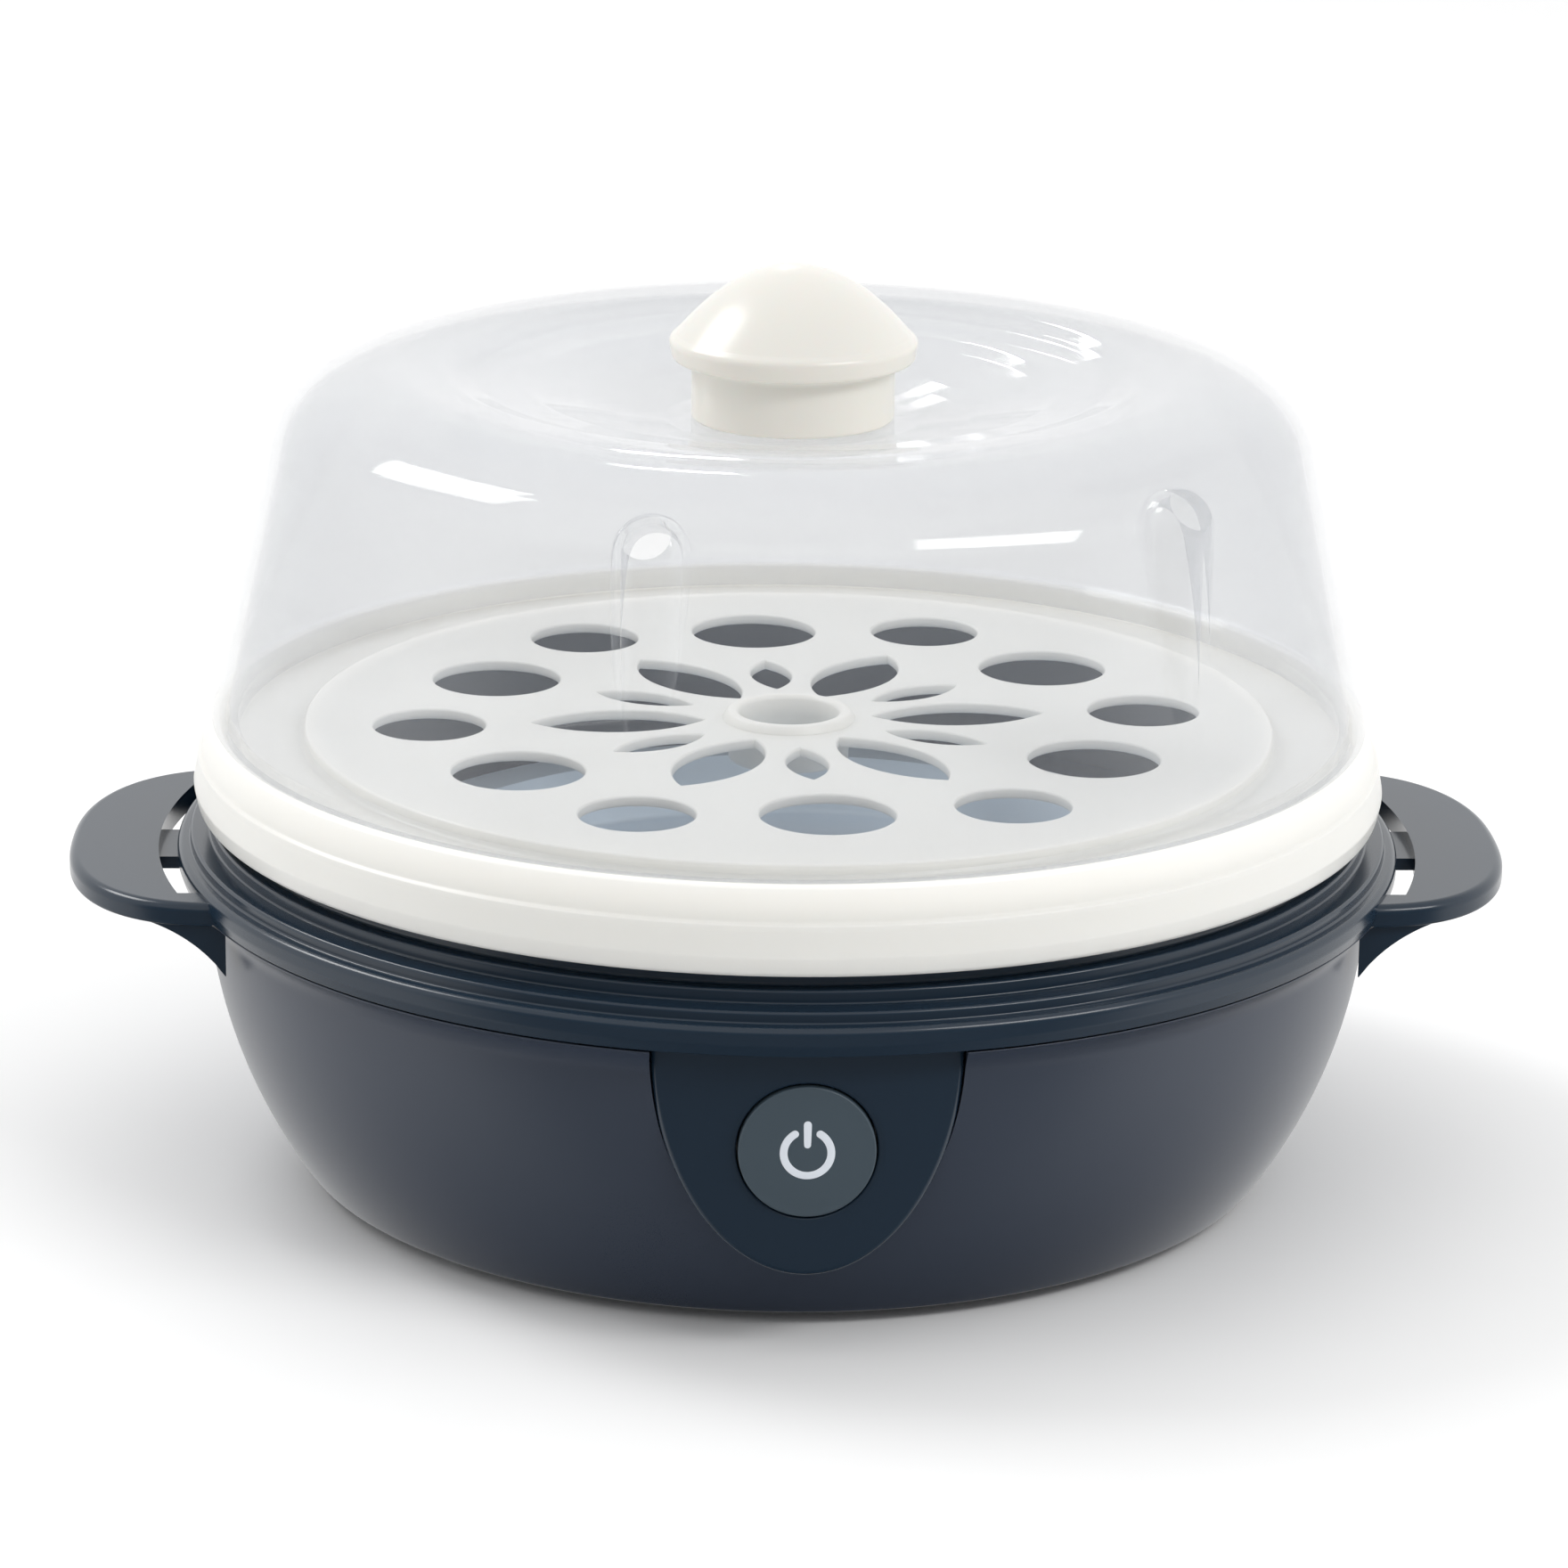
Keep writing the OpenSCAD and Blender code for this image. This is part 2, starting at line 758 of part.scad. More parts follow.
// From the heating element back to the terminal block
module wire_neutral() {
    color("#39506b")
        wire([[-terminal_x, terminal_y, terminal_z], [-terminal_x, terminal_y, terminal_z - 1.5],
              [-14, 38, 8.5], [-block_x, 40, 10], [-block_x, block_y - 0.1, 10]]);
}

// Grommet in the back of the bowl: the mains lead enters through its bore
module cord_gland() {
    color("#1d2023")
        difference() {
            union() {
                y_rod(gland_r, gland_face + 2 - gland_len, gland_face + 2, gland_z);
                y_rod(gland_r + 2.2, gland_face + 0.02, gland_face + 2, gland_z);
                y_rod(gland_r + 1.3, gland_face + 2 - gland_len, 71.1, gland_z);
            }
            y_rod(gland_bore_r, 60, 90, gland_z);
        }
}

icon_depth = 0.4;
icon_r = 3.15;
icon_w = 1.1;
icon_bar = 3.9;
icon_gap_a = 32;

// Power symbol: an open ring with a bar in its gap, drawn in X and Z
module icon_shape() {
    difference() {
        circle(r = icon_r + icon_w / 2);
        circle(r = icon_r - icon_w / 2);
        polygon([[0, 0], [-8 * tan(icon_gap_a), 8], [8 * tan(icon_gap_a), 8]]);
    }
    for (side = [-1, 1])
        rotate(side * icon_gap_a)
            translate([0, icon_r])
                circle(r = icon_w / 2, $fn = 32);
    translate([-icon_w / 2, 0.6])
        square([icon_w, icon_bar]);
}

module icon_block(depth, proud) {
    translate([0, depth - cap_front, button_z])
        rotate([90, 0, 0])
            linear_extrude(depth + proud)
                icon_shape();
}

module button_cap() {
    r = button_d / 2;
    edge = 0.5;
    color("#445056")
        difference() {
            translate([0, 0, button_z])
                rotate([90, 0, 0])
                    rotate_extrude()
                        polygon(concat([[0, stem_end], [stem_r, stem_end],
                                        [stem_r, cap_front - cap_t],
                                        [r - cap_t, cap_front - cap_t], [r - cap_t, cap_back],
                                        [r, cap_back]],
                                       arc(r - edge, cap_front - edge, edge, 0, 90, 5),
                                       [[0, cap_front]]));
            icon_block(icon_depth + 0.02, 1);
        }
}

module button_icon() {
    color("#dce1e8")
        icon_block(icon_depth, 0);
}

module button_spring() {
    turns = 3.5;
    coil_r = 4.3;
    wire = 0.35;
    steps = 16;
    y0 = cap_front - cap_t - wire - 0.1;
    y1 = guide_front + wire + 0.1;
    color("#b9bcbf")
        tube([for (i = [0:turns * steps]) let (u = i / (turns * steps))
              [coil_r * cos(360 * turns * u), -y0 + (y0 - y1) * u,
               button_z + coil_r * sin(360 * turns * u)]], wire, 6);
}

module switch_plunger() {
    color("#d8d4ca")
        y_rod(plunger_r, -plunger_tip, -plunger_end, button_z);
}

// A pointed oval from r0 to r1 along X
module lens(r0, r1, width) {
    half = (r1 - r0) / 2;
    r = (half * half + width * width / 4) / width;
    translate([r0 + half, 0])
        intersection() {
            translate([0, r - width / 2])
                circle(r = r);
            translate([0, width / 2 - r])
                circle(r = r);
        }
}

module tray_profile() {
    tube_r = centre_hole_d / 2;
    rise = 1.2;
    tube_depth = 6;
    polygon(concat([[tube_r, tray_z - tube_depth], [tube_r + 1.4, tray_z - tube_depth],
                    [tube_r + 1.6, tray_z - tray_t], [moat_in - 0.8, tray_z - tray_t],
                    [moat_in - 0.4, moat_under], [spigot_r + 0.5, moat_under],
                    [spigot_r + 0.7, 55.6], [spigot_r + 1.2, 55.1], [spigot_r + 2.4, 55.1]],
                   arc(spigot_r + 2.7, 56.5, 1.35, -80, -10, 5),
                   [[86, 57.9], [85.3, 61.2], [85.3, 61.8], [84.9, 62.3], [83.7, 66.6]],
                   arc(83.2, tray_ring_top - 0.4, 0.4, 20, 90, 3),
                   [[82.5, tray_ring_top], [82.1, tray_ring_top - 0.4], [81.7, moat_floor],
                    [moat_in + 1.7, moat_floor], [moat_in + 1.2, moat_floor + 0.3],
                    [moat_in + 0.5, tray_z - 0.2], [moat_in, tray_z],
                    [tube_r + 2.6, tray_z], [tube_r + 1.8, tray_z + rise]],
                   arc(tube_r + 0.5, tray_z + rise - 0.5, 0.5, 90, 180, 4)));
}

module egg_tray() {
    cut_z = moat_under - 1;
    cut_h = 8;
    chamfer = 0.6;
    color("#eeedea")
        rotate([0, 0, tray_turn])
            difference() {
                rotate_extrude()
                    tray_profile();
                for (k = [0:5]) {
                    rotate([0, 0, 60 * k + 30])
                        translate([egg_ring_r, 0, 0]) {
                            translate([0, 0, cut_z])
                                cylinder(r = egg_hole_d / 2, h = cut_h);
                            translate([0, 0, tray_z - chamfer])
                                cylinder(r1 = egg_hole_d / 2, r2 = egg_hole_d / 2 + 2 * chamfer,
                                         h = 2 * chamfer);
                        }
                    rotate([0, 0, 60 * k])
                        translate([steam_ring_r, 0, cut_z])
                            cylinder(r = steam_hole_d / 2, h = cut_h);
                    rotate([0, 0, 60 * k])
                        translate([0, 0, cut_z])
                            linear_extrude(cut_h)
                                lens(12, 37.5, 11.2);
                    rotate([0, 0, 60 * k + 30])
                        translate([0, 0, cut_z])
                            linear_extrude(cut_h)
                                lens(15, 31, 6);
                }
            }
}

// Outline of the lid's dome, moved inwards by t, from its edge to its centre
function lid_outline(t) =
    let (lean = lid_lean, h = shoulder_z - lid_z,
         r_s = lid_r - h * tan(lean) - t / cos(lean),
         cx = r_s - (shoulder_r - t) * cos(lean), cz = shoulder_z - (shoulder_r - t) * sin(lean),
         ra = cx + (shoulder_r - t) * cos(70), za = cz + (shoulder_r - t) * sin(70))
    concat([[lid_r - t / cos(lean), lid_z]],
           arc(cx, cz, shoulder_r - t, lean, 70, 12),
           [for (i = [1:5]) let (u = i / 5)
            [ra + (crest_r - ra) * u, crest_z - t - (crest_z - t - za) * pow(1 - u, 2)]],
           [[50, crest_z - t - 0.6], [45, crest_z - t - 1.9], [38, crest_z - t - 2.9],
            [32.5, crest_z - t - 4.3], [26, crest_z - t - 6], [20, lid_centre_z - t + 0.2],
            [17, lid_centre_z - t],
            [0, lid_centre_z - t], [0, lid_z]]);

module vent_column(r) {
    translate([0, 0, 76])
        cylinder(r = r, h = vent_top - 76);
    translate([0, 0, vent_top])
        sphere(r = r);
}

module lid_dome() {
    spigot_out = 81.2;
    spigot_in = 79.4;
    spigot_low = moat_floor + 0.8;
    color([0.88, 0.9, 0.93, 0.35])
        difference() {
            union() {
                difference() {
                    union() {
                        rotate_extrude()
                            polygon(lid_outline(0));
                        around(vent_az, vent_axis_r)
                            vent_column(vent_r);
                    }
                    translate([0, 0, -eps])
                        rotate_extrude()
                            polygon(lid_outline(lid_t));
                    around(vent_az, vent_axis_r)
                        vent_column(vent_r - 1.3);
                }
                ring(spigot_out, spigot_in, spigot_low, lid_z + 1.3);
            }
            around(vent_az, vent_axis_r)
                translate([0, 0, vent_top])
                    rotate([0, 45, 0])
                        cylinder(r = vent_hole_d / 2, h = 20);
        }
}

module lid_knob() {
    neck_bottom = lid_centre_z + 0.05;
    rim_top = knob_rim_z + knob_rim_h;
    dome = [for (i = [0:16]) let (u = 1 - i / 16)
            [(knob_r - 0.3) * u, rim_top + knob_dome_h * pow(1 - u * u, 1.2)]];
    color("#f0efe8")
        rotate_extrude()
            polygon(concat([[0, neck_bottom], [knob_neck_r - 0.4, neck_bottom],
                            [knob_neck_r, neck_bottom + 0.5], [knob_neck_r, knob_rim_z - 0.8],
                            [knob_neck_r + 0.6, knob_rim_z - 0.2], [knob_r - 0.8, knob_rim_z],
                            [knob_r, knob_rim_z + 0.5], [knob_r, rim_top - 0.3]], dome));
}

lower_shell();
upper_housing();
bottom_cover();
rubber_feet();
bottom_screws();
heating_plate();
plate_gasket();
heat_spreader();
heating_element();
element_terminals();
element_bracket();
bracket_nuts();
bracket_screws();
thermostat();
thermal_fuse();
fuse_clip();
switch_body();
switch_bracket();
switch_screws();
terminal_block();
wire_live();
wire_switched();
wire_bridge();
wire_fused();
wire_neutral();
cord_gland();
button_cap();
button_icon();
button_spring();
switch_plunger();
egg_tray();
lid_dome();
lid_knob();
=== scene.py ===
import json
import math

import bmesh
import bpy
from mathutils import Matrix, Quaternion, Vector


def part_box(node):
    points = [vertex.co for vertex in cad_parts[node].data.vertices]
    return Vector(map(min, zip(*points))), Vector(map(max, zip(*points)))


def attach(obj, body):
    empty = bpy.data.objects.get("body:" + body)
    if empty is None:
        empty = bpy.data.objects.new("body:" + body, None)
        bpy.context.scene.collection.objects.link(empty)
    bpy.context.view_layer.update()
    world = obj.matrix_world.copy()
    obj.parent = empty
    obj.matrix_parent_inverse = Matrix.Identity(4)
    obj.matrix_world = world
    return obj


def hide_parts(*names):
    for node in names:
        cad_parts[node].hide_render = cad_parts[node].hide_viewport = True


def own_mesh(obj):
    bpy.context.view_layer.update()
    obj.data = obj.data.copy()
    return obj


MM = 0.001

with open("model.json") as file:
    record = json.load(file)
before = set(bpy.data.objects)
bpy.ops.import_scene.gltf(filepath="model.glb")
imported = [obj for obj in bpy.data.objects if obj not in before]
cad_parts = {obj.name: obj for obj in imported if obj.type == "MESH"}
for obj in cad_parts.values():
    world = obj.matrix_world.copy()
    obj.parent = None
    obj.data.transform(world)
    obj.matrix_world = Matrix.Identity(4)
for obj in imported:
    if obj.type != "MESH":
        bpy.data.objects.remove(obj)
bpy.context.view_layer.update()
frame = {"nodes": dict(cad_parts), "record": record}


# ---------------------------------------------------------------- dimensions (mm)

def box_mm(node):
    low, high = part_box(node)
    return low / MM, high / MM


bowl_low, bowl_high = box_mm("lower_shell")
housing_high = box_mm("upper_housing")[1]
knob_low, knob_high = box_mm("lid_knob")
button_low, button_high = box_mm("button_cap")
icon_low, icon_high = box_mm("button_icon")
gland_low, gland_high = box_mm("cord_gland")

# Bowl
foot_z = bowl_low.z
lip_top = bowl_high.z
bowl_wall = 2.2
side_arc_r = 73.0
side_arc_x = 11.5
side_arc_z = lip_top - 0.65
lip_z = lip_top - 4.65
lip_flare = 3.5
ledge_r, ledge_low, ledge_high, skirt_r = 58.0, 4.6, 6.8, 68.0

# Upper housing
rim_r = housing_high.y
band_z = lip_top + 0.3
collar_r, collar_in = 82.0, 79.6
collar_low, collar_top = 41.2, housing_high.z
floor_z, floor_t, opening_r = 40.4, 2.0, 61.0
plate_seat_r = 67.2

# Handles
reach = housing_high.x
handle_top, handle_t = 47.9, 3.3
handle_half_w, handle_centre, handle_power = 33.5, 80.0, 2.4
slot_w, slot_half, strut_half = 2.7, 28.0, 6.5

# Bib and button
bib_r, bib_half_w, bib_h, bib_power = 84.2, 20.9, 31.4, 2.0
button_r = (button_high.x - button_low.x) / 2
button_z = (button_high.z + button_low.z) / 2
button_front = -button_low.y
button_clear = 0.25

# Tray
tray_z, tray_t = 65.7, 1.6
ring_top = 67.0
moat_r, moat_floor = 70.0, 63.5
tray_turn = 4.55
centre_hole_r = 8.1
small_hole_r, small_ring_r = 8.1, 52.1
big_hole_r, big_ring_r = 9.4, 47.2
long_slot, short_slot = (12, 37.5, 11.2), (15, 31, 6)  # from r, to r, width

# Lid
lid_edge_r, lid_edge_z = 83.4, ring_top + 0.3
lid_lean, lid_t = 12.5, 1.9
shoulder_r, shoulder_z = 13.0, 106.4
crest_r, crest_z, lid_centre_z = 55.0, 118.1, 110.4
vent_r, vent_axis_r, vent_low, vent_top = 5.4, 74.3, 76, 108.6
vent_wall, vent_hole_r = 1.3, 3.3
vent_azimuths = (-106.3, -48.8)


# ---------------------------------------------------------------- mesh helpers

def polar(radius, degrees, cx=0.0, cz=0.0):
    a = math.radians(degrees)
    return cx + radius * math.cos(a), cz + radius * math.sin(a)


def rectangle(u0, u1, v0, v1):
    return [(u0, v0), (u1, v0), (u1, v1), (u0, v1)]


def half_oval(half_w, height, power, steps):
    """Points (across, out) of half a superellipse, from one side over its crown to the other."""
    points = []
    for i in range(-steps, steps + 1):
        s = math.sin(math.radians(90 * i / steps))
        swell = max(0.0, 1 - abs(s) ** power) ** (1 / power)
        points.append((half_w * s, height * swell))
    return points


def filleted(corners, step=10.0, closed=True):
    """Corners (u, v) or (u, v, radius); each radius becomes an arc of short chords."""
    points = []
    count = len(corners)
    for i, corner in enumerate(corners):
        here = Vector(corner[:2])
        radius = corner[2] if len(corner) > 2 else 0.0
        if radius <= 0 or (not closed and i in (0, count - 1)):
            points.append(tuple(here))
            continue
        before = Vector(corners[i - 1][:2]) - here
        after = Vector(corners[(i + 1) % count][:2]) - here
        room = min(before.length, after.length) * 0.499
        before.normalize()
        after.normalize()
        half = before.angle(after) / 2
        if abs(half - math.pi / 2) < 0.01:
            points.append(tuple(here))
            continue
        reach_back = min(radius / math.tan(half), room)
        radius = reach_back * math.tan(half)
        centre = here + (before + after).normalized() * (radius / math.sin(half))
        start = here + before * reach_back - centre
        end = here + after * reach_back - centre
        turn = start.angle_signed(end)
        steps = max(2, math.ceil(math.degrees(abs(turn)) / step))
        base = math.atan2(start.y, start.x)
        for k in range(steps + 1):
            a = base - turn * k / steps
            points.append((centre.x + radius * math.cos(a), centre.y + radius * math.sin(a)))
    return points


def mesh_object(name, verts, faces):
    mesh = bpy.data.meshes.new(name)
    mesh.from_pydata([Vector(v) * MM for v in verts], [], faces)
    obj = bpy.data.objects.new(name, mesh)
    bpy.context.scene.collection.objects.link(obj)
    fix_normals(obj)
    return obj


def fix_normals(obj):
    work = bmesh.new()
    work.from_mesh(obj.data)
    bmesh.ops.remove_doubles(work, verts=work.verts, dist=1e-7)
    bmesh.ops.recalc_face_normals(work, faces=work.faces)
    work.to_mesh(obj.data)
    work.free()


def lathe(name, outline, segments=256, closed=True):
    """Turns an outline of (r, z) about the Z axis. Points at r = 0 become poles."""
    verts, rings, faces = [], [], []
    for r, z in outline:
        if r < 1e-6:
            rings.append([len(verts)] * segments)
            verts.append((0, 0, z))
            continue
        rings.append([len(verts) + k for k in range(segments)])
        verts += [(*polar(r, 360 * k / segments), z) for k in range(segments)]
    pairs = list(zip(rings, rings[1:] + rings[:1])) if closed else list(zip(rings, rings[1:]))
    for low, high in pairs:
        for k in range(segments):
            n = (k + 1) % segments
            face = []
            for v in (low[k], low[n], high[n], high[k]):
                if v not in face:
                    face.append(v)
            if len(face) > 2:
                faces.append(face)
    return mesh_object(name, verts, faces)


def loft(name, rings, capped=True):
    """Joins closed rings of equal length into a skin. Open ends are capped, or joined in a loop."""
    count = len(rings[0])
    verts = [p for ring in rings for p in ring]
    faces = []
    spans = len(rings) - (1 if capped else 0)
    for i in range(spans):
        low, high = i * count, (i + 1) % len(rings) * count
        for k in range(count):
            n = (k + 1) % count
            faces.append((low + k, low + n, high + n, high + k))
    if capped:
        faces.append(tuple(range(count - 1, -1, -1)))
        faces.append(tuple((len(rings) - 1) * count + k for k in range(count)))
    return mesh_object(name, verts, faces)


def prism_y(name, outline, y0, y1):
    return loft(name, [[(x, y, z) for x, z in outline] for y in (y0, y1)])


def prism_z(name, outline, z0, z1):
    return loft(name, [[(x, y, z) for x, y in outline] for z in (z0, z1)])


def rod(name, radius, start, end, segments=64):
    """A plain cylinder between two points."""
    start, end = Vector(start), Vector(end)
    turn = (end - start).to_track_quat("Z", "Y")
    rings = []
    for centre in (start, end):
        rings.append([tuple(centre + turn @ Vector((*polar(radius, 360 * k / segments), 0)))
                      for k in range(segments)])
    return loft(name, rings)


def apply_modifiers(obj):
    graph = bpy.context.evaluated_depsgraph_get()
    mesh = bpy.data.meshes.new_from_object(obj.evaluated_get(graph))
    obj.modifiers.clear()
    obj.data = mesh
    return obj


def combine(obj, other, operation):
    """Exact boolean of obj with other; other is used up."""
    modifier = obj.modifiers.new("combine", "BOOLEAN")
    modifier.operation = operation
    modifier.solver = "EXACT"
    modifier.object = other
    apply_modifiers(obj)
    bpy.data.objects.remove(other)
    return obj


def cut(obj, *others):
    for other in others:
        combine(obj, other, "DIFFERENCE")
    return obj


def join(obj, *others):
    for other in others:
        combine(obj, other, "UNION")
    return obj


def flat_curve(name, depth, soft):
    """A filled flat curve of a given depth, its edges rounded by soft."""
    curve = bpy.data.curves.new(name, "CURVE")
    curve.dimensions = "2D"
    curve.fill_mode = "BOTH"
    curve.bevel_depth = soft * MM
    curve.bevel_resolution = 2
    curve.extrude = (depth / 2 - soft) * MM
    return curve


def spline(curve, points):
    line = curve.splines.new("POLY")
    line.points.add(len(points) - 1)
    for point, (x, y) in zip(line.points, points):
        point.co = (x * MM, y * MM, 0, 1)
    line.use_cyclic_u = True


def mesh_of_curve(name, curve):
    flat = bpy.data.objects.new(name, curve)
    bpy.context.scene.collection.objects.link(flat)
    graph = bpy.context.evaluated_depsgraph_get()
    mesh = bpy.data.meshes.new_from_object(flat.evaluated_get(graph))
    bpy.data.objects.remove(flat)
    obj = bpy.data.objects.new(name, mesh)
    bpy.context.scene.collection.objects.link(obj)
    fix_normals(obj)
    return obj


def smooth(obj, angle=32.0):
    """Smooth shading, with creases kept and large flat faces kept flat."""
    fix_normals(obj)
    obj.data.shade_smooth()
    obj.data.set_sharp_from_angle(angle=math.radians(angle))
    modifier = obj.modifiers.new("weighted", "WEIGHTED_NORMAL")
    modifier.mode = "FACE_AREA"
    modifier.keep_sharp = True
    return obj


# ---------------------------------------------------------------- materials

def srgb(r, g, b):
    return tuple((c / 255 / 12.92) if c <= 10 else ((c / 255 + 0.055) / 1.055) ** 2.4
                 for c in (r, g, b)) + (1.0,)


def shaded(colour, factor):
    return tuple(min(1.0, c * factor) for c in colour[:3]) + (1.0,)


def surface(name, colour, rough, spread=0.05, rough_spread=0.12, cloud=30.0, grain=5000.0,
            depth=0.01, stretch=(1, 1, 1), **sockets):
    """A procedural surface: colour clouds, uneven roughness and a fine raised grain.
    depth is the height of the grain in mm; stretch flattens the grain along an axis."""
    material = bpy.data.materials.new(name)
    material.use_nodes = True
    nodes, links = material.node_tree.nodes, material.node_tree.links
    shader = nodes["Principled BSDF"]
    for socket, value in sockets.items():
        shader.inputs[socket.replace("_", " ")].default_value = value
    place = nodes.new("ShaderNodeTexCoord")
    mapping = nodes.new("ShaderNodeMapping")
    mapping.inputs["Scale"].default_value = stretch
    links.new(place.outputs["Object"], mapping.inputs["Vector"])

    clouds = nodes.new("ShaderNodeTexNoise")
    clouds.inputs["Scale"].default_value = cloud
    clouds.inputs["Detail"].default_value = 5.0
    links.new(place.outputs["Object"], clouds.inputs["Vector"])
    tint = nodes.new("ShaderNodeMix")
    tint.data_type = "RGBA"
    tint.inputs["A"].default_value = shaded(colour, 1 - spread)
    tint.inputs["B"].default_value = shaded(colour, 1 + spread)
    links.new(clouds.outputs["Fac"], tint.inputs["Factor"])
    links.new(tint.outputs["Result"], shader.inputs["Base Color"])

    fine = nodes.new("ShaderNodeTexNoise")
    fine.inputs["Scale"].default_value = grain
    fine.inputs["Detail"].default_value = 3.0
    links.new(mapping.outputs["Vector"], fine.inputs["Vector"])
    blend = nodes.new("ShaderNodeMath")
    blend.operation = "ADD"
    links.new(clouds.outputs["Fac"], blend.inputs[0])
    links.new(fine.outputs["Fac"], blend.inputs[1])
    uneven = nodes.new("ShaderNodeMapRange")
    uneven.inputs["From Min"].default_value = 0.6
    uneven.inputs["From Max"].default_value = 1.4
    uneven.inputs["To Min"].default_value = rough * (1 - rough_spread)
    uneven.inputs["To Max"].default_value = rough * (1 + rough_spread)
    links.new(blend.outputs["Value"], uneven.inputs["Value"])
    links.new(uneven.outputs["Result"], shader.inputs["Roughness"])

    bump = nodes.new("ShaderNodeBump")
    bump.inputs["Strength"].default_value = 1.0
    bump.inputs["Distance"].default_value = depth * MM
    links.new(fine.outputs["Fac"], bump.inputs["Height"])
    links.new(bump.outputs["Normal"], shader.inputs["Normal"])
    return material


def veil(material, facing, edge):
    """Clear plastic: thin to look through face on, denser along its edges."""
    nodes, links = material.node_tree.nodes, material.node_tree.links
    weight = nodes.new("ShaderNodeLayerWeight")
    weight.inputs["Blend"].default_value = 0.25
    cover = nodes.new("ShaderNodeMapRange")
    cover.interpolation_type = "SMOOTHSTEP"
    cover.inputs["To Min"].default_value = facing
    cover.inputs["To Max"].default_value = edge
    links.new(weight.outputs["Facing"], cover.inputs["Value"])
    links.new(cover.outputs["Result"], nodes["Principled BSDF"].inputs["Alpha"])


BRUSHED = (1, 1, 40)
TURNED = (1, 1, 12)

materials = {
    "bowl_plastic": surface("bowl_plastic", srgb(52, 60, 74), 0.3, depth=0.004, grain=9000,
                            Specular_IOR_Level=0.5),
    "housing_plastic": surface("housing_plastic", srgb(26, 42, 57), 0.2, depth=0.002, grain=7000),
    "tray_plastic": surface("tray_plastic", srgb(240, 238, 231), 0.32, 0.015, depth=0.004,
                            Subsurface_Weight=0.6, Subsurface_Scale=0.008,
                            Subsurface_Radius=(1.0, 0.95, 0.9)),
    "lid_plastic": surface("lid_plastic", srgb(168, 172, 179), 0.07, 0.02, grain=2500, depth=0.001,
                           Transmission_Weight=0.1, IOR=1.45, Coat_Weight=1.0,
                           Coat_IOR=1.75, Coat_Roughness=0.04, Specular_IOR_Level=0.9),
    "knob_plastic": surface("knob_plastic", srgb(226, 224, 217), 0.24, 0.015, depth=0.002,
                            Subsurface_Weight=0.12, Subsurface_Scale=0.004),
    "button_plastic": surface("button_plastic", srgb(65, 79, 89), 0.42, depth=0.008, grain=11000),
    "icon_plastic": surface("icon_plastic", srgb(222, 228, 236), 0.45, 0.02, depth=0.004),
    "black_plastic": surface("black_plastic", srgb(34, 36, 39), 0.5, 0.1, depth=0.015),
    "cream_plastic": surface("cream_plastic", srgb(222, 216, 200), 0.5, 0.04, depth=0.01),
    "rubber": surface("rubber", srgb(32, 33, 35), 0.72, 0.12, depth=0.03, grain=3500),
    "gasket_rubber": surface("gasket_rubber", srgb(150, 84, 66), 0.6, 0.08, depth=0.02),
    # Heating plate seen through the tray's holes: the steel's own grey, brightened and tinted
    # blue-white by painted reflected light so that the holes look bright.
    "plate_steel": surface("plate_steel", srgb(224, 238, 252), 0.5, 0.04, grain=1400, depth=0.004,
                           stretch=TURNED, Metallic=0.35),
    "sheet_steel": surface("sheet_steel", srgb(184, 187, 190), 0.34, 0.06, grain=1200, depth=0.006,
                           stretch=BRUSHED, Metallic=1.0),
    "screw_steel": surface("screw_steel", srgb(168, 171, 174), 0.3, 0.08, depth=0.006, Metallic=1.0),
    "cast_aluminium": surface("cast_aluminium", srgb(186, 188, 191), 0.48, 0.08, grain=2200,
                              depth=0.04, Metallic=1.0),
    "brass": surface("brass", srgb(196, 176, 120), 0.34, 0.08, depth=0.006, Metallic=1.0),
    "wire_brown": surface("wire_brown", srgb(112, 68, 46), 0.5, 0.06, depth=0.006),
    "wire_white": surface("wire_white", srgb(206, 200, 184), 0.62, 0.08, grain=3000, depth=0.03),
    "wire_blue": surface("wire_blue", srgb(58, 88, 132), 0.5, 0.06, depth=0.006),
}

veil(materials["lid_plastic"], 0.18, 0.5)

for part in frame["record"]["subparts"]:
    node = frame["nodes"][part["node"]]
    node.data.materials.clear()
    node.data.materials.append(materials[part["material_slot"]])


def place_piece(obj, body, slot, *replaced):
    """Gives a finished piece its material, its body and the CAD nodes that it stands for."""
    obj.data.materials.clear()
    obj.data.materials.append(materials[slot])
    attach(obj, body)
    if replaced:
        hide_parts(*replaced)
    return obj


# ---------------------------------------------------------------- base: bowl

def bowl_radius(z, inset=0.0):
    return side_arc_x + math.sqrt((side_arc_r - inset) ** 2 - (side_arc_z - z) ** 2)


def bib_points(grow, top_z):
    """The bib's outline in X and Z, grown by a gap."""
    width, height = bib_half_w + grow, bib_h + grow
    curve = [(x, side_arc_z - down) for x, down in half_oval(width, height, bib_power, 40)]
    return curve + [(width, top_z), (-width, top_z)]


def lip_curve(inset, steps=10):
    """The flare from the bowl's side up to its top edge."""
    return [(bowl_radius(lip_z, inset) + lip_flare * (k / steps) ** 2,
             lip_z + (lip_top - lip_z) * k / steps) for k in range(steps + 1)]


